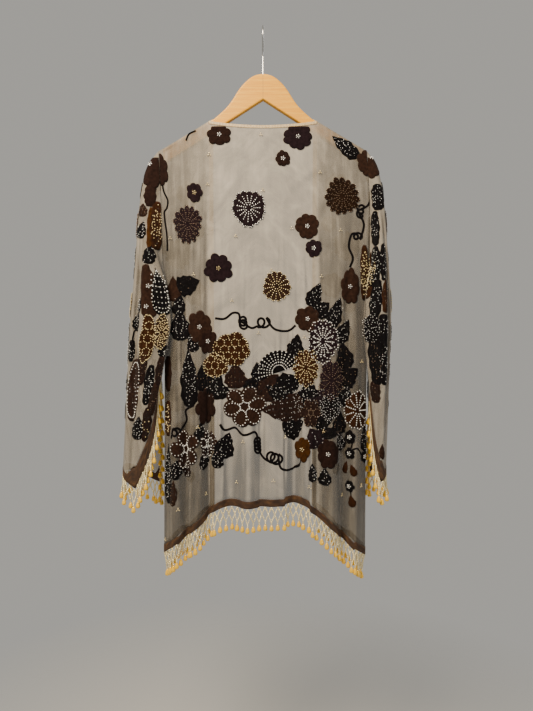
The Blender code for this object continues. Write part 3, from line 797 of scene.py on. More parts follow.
hem_borders = {"back": hem_border("hem_velvet_back", -1, back_columns)}
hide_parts("hem_border_back")
for name, sign in SIDES:
    hem_borders[name] = hem_border(f"hem_velvet_front_{name}", 1, front_columns(sign))
    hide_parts(f"hem_border_front_{name}")
for sleeve in SLEEVES:
    points = np.array([cuff_edge(sleeve, RING, BORDER * share) for share in BORDER_ROWS])

    def middle(place, points=points):
        return points[:, :-1].mean((0, 1)) * (1, 1, 0) + place * (0, 0, 1)

    made = cloth_piece(
        f"cuff_velvet_{sleeve.name}", points, middle, brown_velvet, closed=True, thick=BORDER_THICK
    )
    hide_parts(f"cuff_border_{sleeve.name}")


# Burn-out velvet: flowers, leaves and curling stems left standing as pile where the ground was etched sheer.
# They are woven in one with the cloth, so each lies on its wall and follows the folds.
# One pixel of the picture, in metres, at the back's usual distance
BACK_OUT = 0.02
PX = (-EYE[1] - BACK_OUT) / FOCAL_PX
# Pads and cords: the pile's height, shares of it, and steps along a stem in pixels
PILE = 0.0008
PAD_RIM = 0.22
# The pad's middle sits at this share of the pile and takes this share of its colour, as painted shade
PAD_MIDDLE = 0.8
CORD_SECTION = ((-1, 0.0), (-0.6, 0.8), (0, 1.0), (0.6, 0.8), (1, 0.0))
CURVE_STEP = 1.3
COIL_KNOTS = 14
# Petals, fans and leaves: spans are shares of the way out from the middle
PETAL_TURN = 0.3
PETAL_ROUND = 0.7
# Painted shade in a flower's notches and painted light on its petals' middles, as shares of its colour
PETAL_LIGHT_AND_SHADE = (0.78, 1.06)
RAY_SPAN = (0.22, 0.93)
RAY_RIM = 0.97
FAN_SPAN = (0.32, 0.95)
LEAF_CORNERS = 40
LEAF_ROWS = ((0.0, 0.84), (0.36, 0.62), (-0.36, 0.62), (0.66, 0.38), (-0.66, 0.38))
# Steps between rings of a pad and between beads
RING_STEP = 0.005
BEAD_STEP = 0.0056
LEAF_STEP = 0.0032
RAY_STEP = 0.0054
CROSS_STEP = 0.0105
CROSS_BOW = 0.0035
# How many of a leaf's scattered beads are pale lined glass, which also stand in as painted glints on the jet;
# the rest are jet
LIT_SHARE = 0.42
FULL_SHARE = 0.6
RIM_SHARE = 0.12
# Looped beads, how far beads stray, and heights above the cloth
LOOP = 0.0082
LOOP_GRID = 0.0021
LOOP_SPREAD = 0.0005
LEAF_SPREAD = 0.0011
ABOVE_LEAVES = 0.0005
STAGGER = 0.00006
ON_CLOTH = GEORGETTE / 2 + 0.00020
BEAD_LIFT = 0.0003
# Laying work on a wall: pixels added where it faces away, and steps over its folds
TURNED_AWAY = 1e3
LAY_STEPS = 8
BLACK, PLUM, UMBER = "#0b0809", "#1d1215", "#22140f"
BROWN, RUST, GILT, COCOA = "#2a1a12", "#2f190a", "#3c2208", "#1c0f06"

# Places and sizes are in pixels of the picture, and turns in degrees
FLOWER_BEADS = ("centre", "silver")
Flower = namedtuple("Flower", "px py half_w half_h petals notch colour beads glass", defaults=FLOWER_BEADS)
LEAF_BEADS = (BLACK, "all", "silver")
Leaf = namedtuple("Leaf", "px py half_long half_wide turn colour beads glass", defaults=LEAF_BEADS)
Strip = namedtuple("Strip", Leaf._fields, defaults=LEAF_BEADS)
Stem = namedtuple("Stem", "half_wide stops")
Coil = namedtuple("Coil", "px py radius loops run_x run_y")
Fan = namedtuple("Fan", "px py radius first last rays colour glass")


def spokes(angle):
    """Steps of length 1 to the right and up, at these angles."""
    return np.stack((np.cos(angle), np.sin(angle)), -1)


def curve_through(knots):
    """Places along a smooth curve through knots, about one step apart."""
    ends = np.vstack((2 * knots[0] - knots[1], knots, 2 * knots[-1] - knots[-2]))
    path = []
    for a, b, c, d in zip(ends, ends[1:], ends[2:], ends[3:]):
        for s in np.linspace(0, 1, max(2, int(np.hypot(*(c - b)) / CURVE_STEP)), endpoint=False):
            bend = (2 * a - 5 * b + 4 * c - d) * s**2 + (3 * b - a - 3 * c + d) * s**3
            path.append((2 * b + (c - a) * s + bend) / 2)
    return np.array(path + [knots[-1]])


FLOWER_CENTRE = 0.0034 * np.vstack(([(0, 0)], spokes(math.tau / 5 * np.arange(5))))
STAR = 0.0029 * np.vstack(([(0, 0)], spokes(math.pi / 2 + math.tau / 3 * np.arange(3))))


class Wall:
    """A grid of places on a cloth, rows downwards, that flat work is laid onto along the cloth itself."""

    def __init__(self, points, facing):
        self.points = points
        across, down = np.gradient(points, axis=1), np.gradient(points, axis=0)
        self.across_step = np.linalg.norm(across, axis=-1)
        self.down_step = np.linalg.norm(down, axis=-1)
        normal = np.cross(across, down)
        normal /= np.linalg.norm(normal, axis=-1, keepdims=True) + 1e-12
        normal *= np.sign((normal * facing).sum())
        self.normal = normal
        self.handed = np.sign((across * np.cross((0, 0, 1), normal)).sum(-1))

    def at(self, values, column, row):
        last_row, last_column = values.shape[0] - 1, values.shape[1] - 1
        column, row = np.clip(column, 0, last_column), np.clip(row, 0, last_row)
        c = np.minimum(column.astype(int), last_column - 1)
        r = np.minimum(row.astype(int), last_row - 1)
        u, v = column - c, row - r
        if values.ndim == 3:
            u, v = u[..., None], v[..., None]
        upper = mix(values[r, c], values[r, c + 1], u)
        return mix(upper, mix(values[r + 1, c], values[r + 1, c + 1], u), v)

    def spot(self, px, py):
        """The row and column seen at a place in the picture, on the side that faces the viewpoint."""
        seen = self.points - EYE
        off = np.hypot(
            seen[..., 0] / seen[..., 1] * FOCAL_PX + PICTURE[0] / 2 - px,
            -seen[..., 2] / seen[..., 1] * FOCAL_PX + PICTURE[1] / 2 - py,
        )
        off[self.normal[..., 1] > 0] += TURNED_AWAY
        row, column = np.unravel_index(off.argmin(), off.shape)
        return float(column), float(row)

    def nearest(self, x, z):
        off = np.hypot(self.points[..., 0] - x, self.points[..., 2] - z)
        row, column = np.unravel_index(off.argmin(), off.shape)
        return float(column), float(row)

    def lay(self, spot, flat, lift):
        """Places for flat work round a spot: flat is (n, 2) to the right and up, lift is off the cloth."""
        column, row = np.full(len(flat), spot[0]), np.full(len(flat), spot[1])
        hand = self.handed[int(spot[1]), int(spot[0])] or 1.0
        right, up = flat[:, 0] / LAY_STEPS, flat[:, 1] / LAY_STEPS
        for _ in range(LAY_STEPS):
            column = column + hand * right / np.maximum(self.at(self.across_step, column, row), 1e-4)
            row = row - up / np.maximum(self.at(self.down_step, column, row), 1e-4)
        lifted = self.at(self.normal, column, row) * np.reshape(lift, (-1, 1))
        return self.at(self.points, column, row) + lifted


class Pile:
    """The velvet of one wall: closed low pads and cords, with a colour at each point that holds painted light
    and shade, and its bead places.
    """

    def __init__(self, wall):
        self.wall = wall
        self.points, self.faces, self.tints = [], [], []
        self.beads = {"silver": [], "gold": [], "bronze": [], "fine": [], "jet": []}
        self.raised = 0.0
        self.chance = np.random.default_rng(11)

    def add(self, places, faces, tints):
        first = sum(len(p) for p in self.points)
        self.points.append(places)
        self.faces += [[first + corner for corner in face] for face in faces]
        self.tints.append(tints)

    def pad(self, spot, outline, shade, colour):
        """A pad of pile inside a closed outline round a spot, rounded down at its rim and flat below."""
        count = len(outline)
        reach = np.linalg.norm(outline, axis=1).max()
        above = np.linspace(0.25, 0.94, int(np.clip(reach / RING_STEP, 3, 7)))
        below = above[::-2]
        rings = [*above, 1.0, *below]
        flat = [np.zeros((1, 2)), *[outline * share for share in rings], np.zeros((1, 2))]
        crown = [np.full(count, PILE * (1.0 - PAD_RIM * share**4)) for share in above]
        high = [[PILE * PAD_MIDDLE], *crown, np.zeros(count * (1 + len(below)) + 1)]
        # Painted light and shade: the colour runs from the darker middle to the given shade at the rim
        tone = [[PAD_MIDDLE], *[mix(1.0, shade, share**2) for share in rings], [1.0]]
        places = self.wall.lay(spot, np.vstack(flat), np.concatenate(high) + ON_CLOTH + self.raised)
        ring = [1 + k * count for k in range(len(rings))]
        step = [(i, (i + 1) % count) for i in range(count)]
        faces = [[0, ring[0] + i, ring[0] + j] for i, j in step]
        for a, b in zip(ring, ring[1:]):
            faces += [[a + i, b + i, b + j, a + j] for i, j in step]
        faces += [[ring[-1] + i, len(places) - 1, ring[-1] + j] for i, j in step]
        self.add(places, faces, np.outer(np.concatenate(tone), linear(colour)[:3]))

    def cord(self, spot, path, half_wide, colour):
        """A low rounded cord of pile along a flat path."""
        run = np.gradient(path, axis=0)
        run /= np.linalg.norm(run, axis=1, keepdims=True) + 1e-9
        aside = np.stack((-run[:, 1], run[:, 0]), -1)
        count, sides = len(path), len(CORD_SECTION)
        places = []
        for wide, high in CORD_SECTION:
            lift = np.full(count, PILE * high + ON_CLOTH)
            places.append(self.wall.lay(spot, path + aside * half_wide * wide, lift))
        faces = []
        for k in range(sides):
            a, b = k * count, (k + 1) % sides * count
            faces += [[a + i, b + i, b + i + 1, a + i + 1] for i in range(count - 1)]
        faces += [[k * count for k in range(sides)], [k * count + count - 1 for k in reversed(range(sides))]]
        self.add(np.vstack(places), faces, np.outer(np.ones(count * sides), linear(colour)[:3]))

    def sew(self, spot, glass, flat):
        lift = np.full(len(flat), PILE + ON_CLOTH + BEAD_LIFT + self.raised)
        self.beads[glass].append(self.wall.lay(spot, np.array(flat), lift))

    def stagger(self):
        """A hair's difference in height by turns, so that pads that lap don't share a surface."""
        return STAGGER * (len(self.points) % 6)

    def motif(self, motif, spot):
        draw = self.flower if isinstance(motif, Flower) else self.leaf
        draw(motif, spot)

    def flower(self, flower, spot=None):
        spot = spot or self.wall.spot(flower.px, flower.py)
        size = np.array((flower.half_w, flower.half_h)) * PX
        turn = PETAL_TURN * flower.px
        angle = np.linspace(0, math.tau, flower.petals * (8 if flower.petals < 13 else 6) + 1)[:-1]
        lobe = np.abs(np.cos(flower.petals * angle / 2))

        def on_petals(angle, share):
            rim = 1 - flower.notch * (1 - np.abs(np.cos(flower.petals * angle / 2)) ** PETAL_ROUND)
            rim = rim * (1 + 0.04 * np.sin(3 * angle + flower.px) + 0.03 * np.sin(5 * angle + flower.py))
            return spokes(angle + turn) * np.reshape(rim * share, (-1, 1)) * size

        self.raised = ABOVE_LEAVES + self.stagger()
        self.pad(spot, on_petals(angle, 1.0), mix(*PETAL_LIGHT_AND_SHADE, lobe), flower.colour)
        middles = math.tau / flower.petals * np.arange(flower.petals)
        half = math.pi / flower.petals
        step = RAY_STEP / max(size)
        rows = []
        if flower.beads == "centre":
            rows.append(FLOWER_CENTRE)
        elif flower.beads in ("rays", "seams"):
            along = np.arange(*RAY_SPAN, step)
            for number, seam in enumerate(middles + half):
                some = along[number % 2 :]
                rows.append(on_petals(np.full(len(some), seam), some))
            for aside in (-0.55, 0, 0.55):
                rows.append(on_petals(middles + aside * half, RAY_RIM))
            if flower.beads == "rays":
                rows += [on_petals(middles + 0.1, 0.62), on_petals(middles - 0.05, 0.80)]
        elif flower.beads == "petals":
            wide = min(0.34, 0.60 * math.sin(half))
            around = np.linspace(0, math.tau, int(2.2 / step))[:-1]
            out = 0.57 + 0.38 * np.cos(around)
            aside = wide * np.sin(around) * (0.95 + 0.3 * np.cos(around))
            rows += [on_petals(m + np.arctan2(aside, out), np.hypot(out, aside)) for m in middles]
        elif flower.beads == "loops":
            cell = LOOP * spokes(math.pi / 6 + math.pi / 3 * np.arange(6))
            cell = np.vstack((cell, (cell + np.roll(cell, 1, 0)) / 2))
            cells = []
            for row in range(-4, 5):
                for column in range(-4, 5):
                    middle = LOOP * np.array((math.sqrt(3) * (column + 0.5 * (row % 2)), 1.5 * row))
                    if np.hypot(*(middle / size)) < 0.80:
                        cells.append(middle + cell)
            net = np.unique(np.round(np.vstack(cells) / LOOP_GRID), axis=0) * LOOP_GRID
            net = net[np.hypot(*(net / size).T) < 0.93]
            rows.append(net + self.chance.normal(0, LOOP_SPREAD, net.shape))
            rows.append(on_petals(np.arange(0, math.tau, 1.2 * step), 0.96))
        if rows:
            self.sew(spot, flower.glass, np.vstack(rows))

    def fan(self, fan):
        """A half flower seen from the side: petals that spread from its foot, a row of beads up each."""
        angle = np.radians(np.linspace(fan.first, fan.last, 8 * fan.rays + 1))
        across = np.linspace(0, fan.rays, len(angle))
        radius = fan.radius * PX
        rim = radius * (0.93 + 0.07 * np.abs(np.sin(math.pi * across)))
        centre = 0.5 * fan.radius * spokes(math.radians((fan.first + fan.last) / 2))
        arc = spokes(angle) * rim[:, None]
        outline = np.vstack((arc, arc[-1] * 0.5, (0, 0), arc[0] * 0.5)) - centre * PX
        spot = self.wall.spot(fan.px + centre[0], fan.py - centre[1])
        self.raised = ABOVE_LEAVES
        # Painted shade: the fan's rim a little darker
        self.pad(spot, outline, np.full(len(outline), 0.9), fan.colour)
        along = np.arange(*FAN_SPAN, RAY_STEP / radius) * radius
        seams = np.radians(np.linspace(fan.first, fan.last, fan.rays + 1))
        rows = [spokes(seam) * along[:, None] - centre * PX for seam in seams]
        self.sew(spot, fan.glass, np.vstack(rows))

    def leaf(self, leaf, spot=None):
        spot = spot or self.wall.spot(leaf.px, leaf.py)
        angle = np.linspace(0, math.tau, LEAF_CORNERS + 1)[:-1]
        turn = math.radians(leaf.turn)
        spin = np.array(((math.cos(turn), math.sin(turn)), (-math.sin(turn), math.cos(turn))))
        blunt = isinstance(leaf, Strip)

        def rim(angle):
            """Half widths round the outline: even for a strip, widest near the stalk for a leaf."""
            along = np.cos(angle)
            even, tapered = np.abs(np.sin(angle)) ** 0.6, (1 + along) ** 0.45 * (1 - along + 1e-9) / 1.08
            return np.sign(np.sin(angle)) * (even if blunt else tapered)

        jag = 0.09 * np.cos(11 * angle + leaf.px) + 0.06 * np.sin(5 * angle + leaf.py)
        long, half = leaf.half_long * PX, leaf.half_wide * PX
        blade = np.stack((long * np.cos(angle), half * rim(angle) * (1 + jag)), -1)
        self.raised = self.stagger()
        # Painted shade round the leaf's rim, in bands
        self.pad(spot, blade @ spin, 0.75 + 0.3 * np.abs(np.cos(4.5 * angle)), leaf.colour)
        if not leaf.beads:
            return
        scattered, rows = [], []
        for across, reach in LEAF_ROWS:
            first = -reach if blunt else -min(1.25 * reach, 0.9)
            along = np.linspace(first, reach, max(2, int((reach - first) * long / LEAF_STEP))) * long
            scattered.append(np.stack((along, 0 * along + across * half), -1))
        if leaf.beads in ("rim", "cross"):
            count = int(4 * long / BEAD_STEP)
            around = math.tau / count * np.arange(count)
            rows.append(0.88 * np.stack((long * np.cos(around), half * rim(around)), -1))
        if leaf.beads == "cross":
            across = np.linspace(-0.8, 0.8, 5)
            for middle in np.arange(-0.7 * long, 0.75 * long, CROSS_STEP):
                reach = half * math.sqrt(1 - (middle / long) ** 2)
                rows.append(np.stack((middle + CROSS_BOW * across**2, across * reach), -1))
        places = np.vstack(scattered)
        places = places + self.chance.normal(0, LEAF_SPREAD, places.shape)
        # Pale beads among the jet: partly painted glints
        usual = LIT_SHARE if leaf.glass == "silver" else LIT_SHARE / 2
        lit = self.chance.random(len(places)) < {"all": usual, "full": FULL_SHARE}.get(leaf.beads, RIM_SHARE)
        fine = "fine" if leaf.glass == "silver" and leaf.beads != "full" else leaf.glass
        in_rows = np.vstack(rows or [np.zeros((0, 2))])
        for glass, some in ((fine, places[lit]), (leaf.glass, in_rows), ("jet", places[~lit])):
            if len(some):
                self.sew(spot, glass, some @ spin)

    def stem(self, stem, colour=BLACK):
        """A curling stem through its stops, with coils as round loops that run on a little."""
        knots = []
        for stop in stem.stops:
            if isinstance(stop, Coil):
                count = int(COIL_KNOTS * stop.loops)
                turn = math.tau * stop.loops * np.linspace(0, 1, count) - math.pi / 2
                run = np.linspace(-0.5, 0.5, count)
                round_x = stop.px + stop.run_x * run + stop.radius * np.cos(turn)
                knots += list(zip(round_x, stop.py + stop.run_y * run - stop.radius * np.sin(turn)))
            else:
                knots.append(stop)
        path = curve_through(np.array(knots, float))
        middle = path.mean(0)
        self.cord(self.wall.spot(*middle), (path - middle) * (PX, -PX), stem.half_wide * PX, colour)

    def piece(self, name):
        shape = bpy.data.meshes.new(name)
        shape.from_pydata(np.vstack(self.points).tolist(), [], self.faces)
        tint = shape.color_attributes.new("tint", "FLOAT_COLOR", "POINT")
        colours = np.hstack((np.vstack(self.tints), np.ones((len(shape.vertices), 1))))
        tint.data.foreach_set("color", colours.reshape(-1))
        work = bmesh.new()
        work.from_mesh(shape)
        bmesh.ops.recalc_face_normals(work, faces=work.faces)
        work.to_mesh(shape)
        work.free()
        shape.shade_smooth()
        shape.materials.append(devore)
        return add_piece(name, shape)


# Velvet pile of the motifs: each in its own dyed colour, with painted light and shade over petals and rims,
# mottled by the nap, with a soft sheen at the edges
devore, tree, shader = new_finish(
    "burn_out_velvet", Roughness=0.95, Specular_IOR_Level=0.08, Sheen_Weight=0.05, Sheen_Roughness=0.4
)
place = add_node(tree, "ShaderNodeTexCoord").outputs["Object"]
tint = add_node(tree, "ShaderNodeVertexColor", {"layer_name": "tint"})
nap = add_node(tree, "ShaderNodeTexNoise", Vector=place, Scale=180.0, Detail=4.0)
lying = add_node(tree, "ShaderNodeMapRange", Value=nap, From_Min=0.3, From_Max=0.7, To_Min=0.6, To_Max=1.35)
dyed = add_node(tree, "ShaderNodeVectorMath", {"operation": "SCALE"}, _0=tint, Scale=lying)
feed(shader, Base_Color=dyed)
tufts = add_node(tree, "ShaderNodeTexNoise", Vector=place, Scale=1500.0, Detail=1.0)
add_dents(tree, shader, tufts, 0.4, 0.0008)

DROP_ROWS = np.linspace(-0.20, -1.07, 219)[:, None]


def body_wall(side, first, last, shares):
    """The back or a front between two edges, as rows of level places."""
    x = mix(first, last, shares[None, :])
    z = DROP_ROWS + 0 * x
    return Wall(np.stack((x, side * body_out(side, x, z), z), -1), side * TO_FRONT)


across_back = np.linspace(0.0005, 0.9995, 201)
left_edge, right_edge = body_level(DROP_ROWS, "left"), body_level(DROP_ROWS, "right")
back_pile = Pile(body_wall(-1, left_edge, right_edge, across_back))
for flower in (
    Flower(160.0, 170.0, 8.5, 17.0, 7, 0.16, UMBER, ""),
    Flower(368.0, 163.0, 10.5, 14.5, 7, 0.16, BROWN, ""),
    Flower(219.5, 134.0, 12.5, 11.5, 7, 0.16, UMBER),
    Flower(298.0, 136.0, 15.0, 13.5, 9, 0.14, PLUM),
    Flower(283.1, 159.3, 7.6, 8.4, 8, 0.12, UMBER),
    Flower(194.2, 192.8, 8.3, 10.2, 7, 0.16, PLUM, "centre", "gold"),
    Flower(188.0, 225.3, 14.5, 20.0, 14, 0.20, PLUM, "rays", "bronze"),
    Flower(249.3, 208.1, 17.2, 19.2, 15, 0.15, PLUM, "seams", "silver"),
    Flower(341.5, 196.2, 17.8, 19.5, 15, 0.18, COCOA, "rays", "bronze"),
    Flower(307.0, 226.8, 12.2, 13.2, 8, 0.12, BROWN),
    Flower(313.7, 249.2, 8.5, 9.2, 7, 0.14, PLUM),
    Flower(218.3, 268.7, 14.8, 15.0, 8, 0.18, PLUM, "centre", "gold"),
    Flower(276.6, 285.6, 14.2, 15.5, 14, 0.16, BROWN, "seams", "gold"),
    Flower(350.1, 286.5, 10.0, 18.5, 8, 0.14, BROWN),
    Flower(199.5, 326.0, 12.5, 17.0, 7, 0.18, BROWN),
    Flower(208.5, 342.0, 10.0, 13.0, 7, 0.18, UMBER),
    Flower(307.0, 318.0, 12.8, 13.2, 7, 0.16, BROWN),
    Flower(232.0, 350.0, 19.5, 17.0, 8, 0.10, RUST, "loops", "gold"),
    Flower(215.0, 365.0, 13.5, 12.5, 6, 0.12, RUST, "loops", "gold"),
    Flower(205.5, 406.5, 12.5, 19.0, 7, 0.24, UMBER, ""),
    Flower(245.0, 407.0, 22.5, 21.0, 6, 0.20, BROWN, "petals", "silver"),
    Flower(323.0, 342.0, 15.5, 23.0, 15, 0.18, PLUM, "rays", "silver"),
    Flower(305.5, 367.5, 13.2, 19.5, 12, 0.20, RUST, "rays", "gold"),
    Flower(331.5, 381.0, 13.5, 20.0, 11, 0.20, PLUM, "rays", "bronze"),
    Flower(310.5, 413.5, 10.5, 15.0, 6, 0.20, UMBER, "petals", "bronze"),
    Flower(331.0, 407.5, 12.0, 12.5, 9, 0.14, BLACK, "rays", "fine"),
    Flower(357.0, 410.5, 14.0, 19.5, 11, 0.16, RUST, "seams", "silver"),
    Flower(186.5, 449.0, 18.5, 20.0, 5, 0.34, BROWN, "petals", "silver"),
    Flower(206.5, 444.0, 10.5, 14.5, 5, 0.32, UMBER, "petals", "silver"),
    Flower(302.5, 449.0, 9.5, 12.5, 6, 0.18, GILT, "centre", "gold"),
    Flower(328.3, 454.6, 12.8, 15.0, 8, 0.14, UMBER),
    Flower(350.1, 437.1, 6.2, 7.0, 6, 0.16, BLACK),
    Flower(349.1, 452.6, 6.0, 6.0, 5, 0.22, BLACK),
    Flower(364.0, 456.3, 6.0, 6.5, 5, 0.22, BLACK),
    Flower(348.8, 486.5, 6.0, 6.0, 6, 0.22, BLACK),
):
    back_pile.flower(flower)
for leaf in (
    Leaf(188.4, 284.8, 12.3, 10.6, 20, BLACK, "all", "bronze"),
    Leaf(314.4, 294.5, 13.0, 7.6, 66),
    Leaf(345.0, 147.0, 17.0, 7.5, 140),
    Leaf(173.5, 289.0, 12.9, 7.5, 90, BROWN, ""),
    Leaf(179.0, 304.7, 10.6, 6.9, 80),
    Leaf(179.8, 325.8, 15.7, 10.6, 95),
    Leaf(322.4, 308.5, 9.5, 8.8, 40),
    Leaf(335.7, 312.5, 16.2, 7.5, 72),
    Leaf(189.4, 378.0, 29.7, 9.4, 92),
    Leaf(203.7, 377.8, 13.4, 9.4, 100, BLACK, "all", "bronze"),
    Leaf(214.5, 386.0, 12.9, 11.2, 60),
    Leaf(235.3, 376.5, 12.9, 11.2, 95, UMBER, "all", "bronze"),
    Leaf(296.0, 344.5, 11.8, 8.1, 80),
    Leaf(267.0, 387.0, 16.8, 13.8, 45, UMBER, "all", "bronze"),
    Leaf(289.0, 383.5, 14.6, 11.9, 20),
    Leaf(309.0, 390.0, 10.6, 8.8, 100),
    Leaf(344.4, 355.5, 14.0, 8.8, 100, BLACK, "all", "bronze"),
    Leaf(349.6, 376.0, 11.8, 10.0, 40, BLACK, "all", "bronze"),
    Leaf(284.0, 409.5, 22.0, 14.5, 186, UMBER),
    Leaf(294.0, 426.0, 12.3, 11.2, 30),
    Leaf(315.0, 436.5, 10.6, 10.6, 120, PLUM),
    Leaf(339.6, 423.0, 11.8, 10.0, 80, BLACK, "all", "bronze"),
    Leaf(330.0, 433.3, 10.6, 6.2, 0, BLACK, "all", "bronze"),
    Leaf(224.8, 445.0, 13.4, 10.6, 70),
    Leaf(217.5, 458.5, 10.6, 6.9, 75),
    Leaf(206.5, 457.5, 12.9, 6.2, 65),
    Leaf(212.5, 440.0, 10.1, 8.1, 95, BROWN),
    Leaf(199.5, 431.0, 10.1, 5.6, 80),
    Leaf(177.0, 468.0, 11.8, 7.5, 60),
    Leaf(188.0, 466.0, 10.1, 6.2, 110, UMBER),
    Leaf(325.2, 475.4, 9.0, 7.0, 90),
    Leaf(312.8, 473.5, 9.5, 4.8, 95),
    Leaf(364.4, 437.1, 13.4, 7.5, 95),
    Leaf(346.3, 466.8, 6.7, 3.5, 75, RUST, ""),
    Leaf(353.0, 470.6, 6.2, 3.5, 110, RUST, ""),
    Leaf(351.4, 500.3, 6.2, 4.0, 100, RUST, ""),
    Leaf(168.5, 474.0, 30.2, 5.8, 90),
    Strip(168.0, 374.0, 18.0, 4.8, 90, BROWN, ""),
    Strip(168.6, 418.0, 18.0, 5.0, 90, RUST, "full", "gold"),
    Strip(364.6, 272.0, 28.0, 4.4, 90, RUST, "full", "gold"),
    Leaf(258.0, 372.0, 10.0, 8.0, 100),
    Leaf(252.0, 384.0, 9.0, 8.0, 60, BLACK, "all", "bronze"),
    Leaf(277.0, 392.0, 13.0, 9.0, 150),
    Leaf(299.0, 401.0, 11.0, 8.5, 80),
    Leaf(318.0, 396.0, 10.0, 8.0, 40, PLUM),
    Leaf(324.0, 421.0, 11.0, 8.5, 20),
    Leaf(345.0, 395.0, 11.0, 8.0, 70),
    Leaf(340.0, 440.0, 10.0, 7.0, 120),
    Leaf(343.0, 332.0, 13.0, 7.5, 65),
    Leaf(221.0, 391.0, 9.0, 7.0, 130),
    Leaf(192.0, 344.0, 9.0, 6.0, 110),
    Leaf(172.5, 493.0, 13.4, 5.0, 85, BROWN, "all", "bronze"),
):
    back_pile.leaf(leaf)
back_pile.fan(Fan(279.5, 372.5, 22.0, 20, 195, 14, BLACK, "silver"))
for stem in (
    Stem(1.15, (
        (215, 318), (224.5, 318.4), (232.4, 312.7), (238.6, 313.3), (240, 319),
        Coil(243.0, 322.5, 3.6, 2.5, 1.5, 8.0), (251.6, 327.7), (257, 326),
        Coil(262.5, 322.5, 4.6, 1.5, 8.0, 0.0), (274.5, 328.6), (288, 330.5), (296, 325),
    )),
    Stem(1.15, (
        (217, 424), (221.5, 430), (232.4, 427.6), (242, 434.3), (253.5, 431.4), (256.8, 436),
        Coil(257.0, 444.8, 3.4, 3.5, 0.8, 12.0), (263, 456.3), Coil(274.2, 457.4, 4.8, 2.5, 9.5, 3.6),
        (281.2, 466.8), (289.8, 470), (299.4, 466.8), (304.2, 460),
    )),
    Stem(1.15, (
        (197, 404.6), (186.5, 410), (187.5, 420), (181.7, 428.5),
        Coil(175.2, 431.4, 3.6, 1.5, -6.0, 1.5), (170, 438),
    )),
    Stem(1.15, (
        (373, 193.7), (368.6, 205.2), Coil(360.8, 211.6, 3.0, 2.5, -2.0, 11.0), (364.0, 223), (363.4, 231),
        Coil(357.2, 236.6, 3.0, 1.5, -6.0, 0.5), (351.4, 235.8), (349.1, 247.3), (353, 258.8), (350.1, 268),
    )),
    Stem(0.8, ((350, 437), (352, 446), (349, 452), (357, 449), (364, 456))),
    Stem(0.7, ((349, 487), (350.6, 493), (351.4, 499))),
    Stem(0.9, ((186, 140), (189, 133.5), (196, 130))),
    Stem(0.9, (
        (163, 184), (164, 192), (167.5, 201), (166.5, 209), (164, 213), (164.5, 222), (166, 233),
        (166.5, 242), (166.5, 252),
    )),
):
    back_pile.stem(stem)
# Small stars of gold beads, sewn here and there on the plain ground
STARS = (
    (261, 134), (209, 155), (207, 185), (263, 191), (320, 172), (170, 239), (236, 237), (292, 229),
    (341, 231), (193, 275), (321, 277), (232, 300), (271, 270), (198, 428), (243, 442), (237, 483),
    (273, 480), (285, 437), (324, 430), (361, 362), (259, 334), (304, 337), (206, 494), (178, 510),
    (341, 494), (360, 485), (166, 540), (309, 488),
)
for place in STARS:
    back_pile.sew(back_pile.wall.spot(*place), "gold", STAR)

# The sleeves carry the same velvet, crowded into upright strips by their folds. What the picture hides, the
# arm's other side and the two fronts, is filled in the same way with motifs of the same sizes.
SLEEVE_MOTIFS = {
    "left": (
        Flower(154.0, 170.5, 11.0, 19.5, 7, 0.12, UMBER, ""),
        Strip(150.5, 194.0, 13.0, 6.0, 90, UMBER, ""),
        Strip(157.0, 225.5, 25.0, 7.6, 88, RUST, "full", "gold"),
        Strip(150.0, 228.0, 22.0, 3.2, 90, GILT, ""),
        Leaf(142.5, 210.0, 7.0, 4.9, 90, BROWN, "all", "bronze"),
        Leaf(141.5, 230.5, 9.0, 5.2, 80),
        Leaf(149.5, 254.0, 10.0, 7.2, 80),
        Strip(148.0, 291.0, 27.0, 8.7, 92, BROWN, ""),
        Leaf(160.5, 291.0, 24.0, 10.4, 90, BLACK, "cross", "silver"),
        Leaf(140.0, 305.0, 7.5, 4.1, 85),
        Leaf(137.5, 320.5, 9.0, 5.2, 80),
        Flower(147.0, 338.0, 7.5, 25.0, 6, 0.10, RUST, "loops", "gold"),
        Flower(161.5, 332.0, 8.0, 18.0, 12, 0.14, BROWN, "rays", "gold"),
        Strip(163.5, 351.0, 6.0, 5.5, 90),
        Strip(160.0, 371.0, 15.0, 4.9, 93, UMBER, "all", "bronze"),
        Strip(134.5, 389.0, 31.0, 7.8, 90, BROWN, "rim", "silver"),
        Strip(142.0, 366.0, 19.0, 4.6, 90, UMBER, "all", "bronze"),
        Leaf(137.5, 428.0, 11.5, 7.0, 85),
        Strip(148.5, 385.0, 20.0, 4.6, 90),
        Strip(153.0, 398.0, 17.0, 4.4, 88, BROWN, "all", "bronze"),
        Strip(146.5, 424.0, 17.0, 4.6, 86, UMBER, "all", "gold"),
        Strip(131.0, 350.0, 11.0, 4.0, 90),
    ),
    "right": (
        Flower(371.0, 164.0, 9.5, 15.0, 7, 0.12, BROWN, ""),
        Strip(378.0, 197.0, 14.0, 6.7, 88),
        Strip(375.5, 229.0, 18.0, 5.5, 90),
        Strip(367.5, 271.0, 28.0, 8.1, 90, RUST, "full", "gold"),
        Strip(376.0, 265.0, 22.0, 6.4, 90),
        Strip(376.0, 300.0, 20.0, 6.4, 90),
        Strip(384.5, 262.0, 19.0, 5.2, 89),
        Strip(386.0, 296.0, 17.0, 4.9, 89, RUST, "all", "bronze"),
        Flower(370.0, 328.0, 11.5, 14.0, 7, 0.18, BLACK, "rays", "fine"),
        Strip(384.0, 328.0, 14.0, 7.2, 90),
        Strip(375.5, 359.0, 26.0, 7.2, 90, BLACK, "all", "bronze"),
        Strip(385.0, 362.0, 22.0, 6.1, 90),
        Strip(375.5, 391.0, 11.0, 5.5, 90, UMBER, "all", "bronze"),
        Leaf(382.0, 452.0, 8.0, 2.9, 88, BROWN, ""),
    ),
}
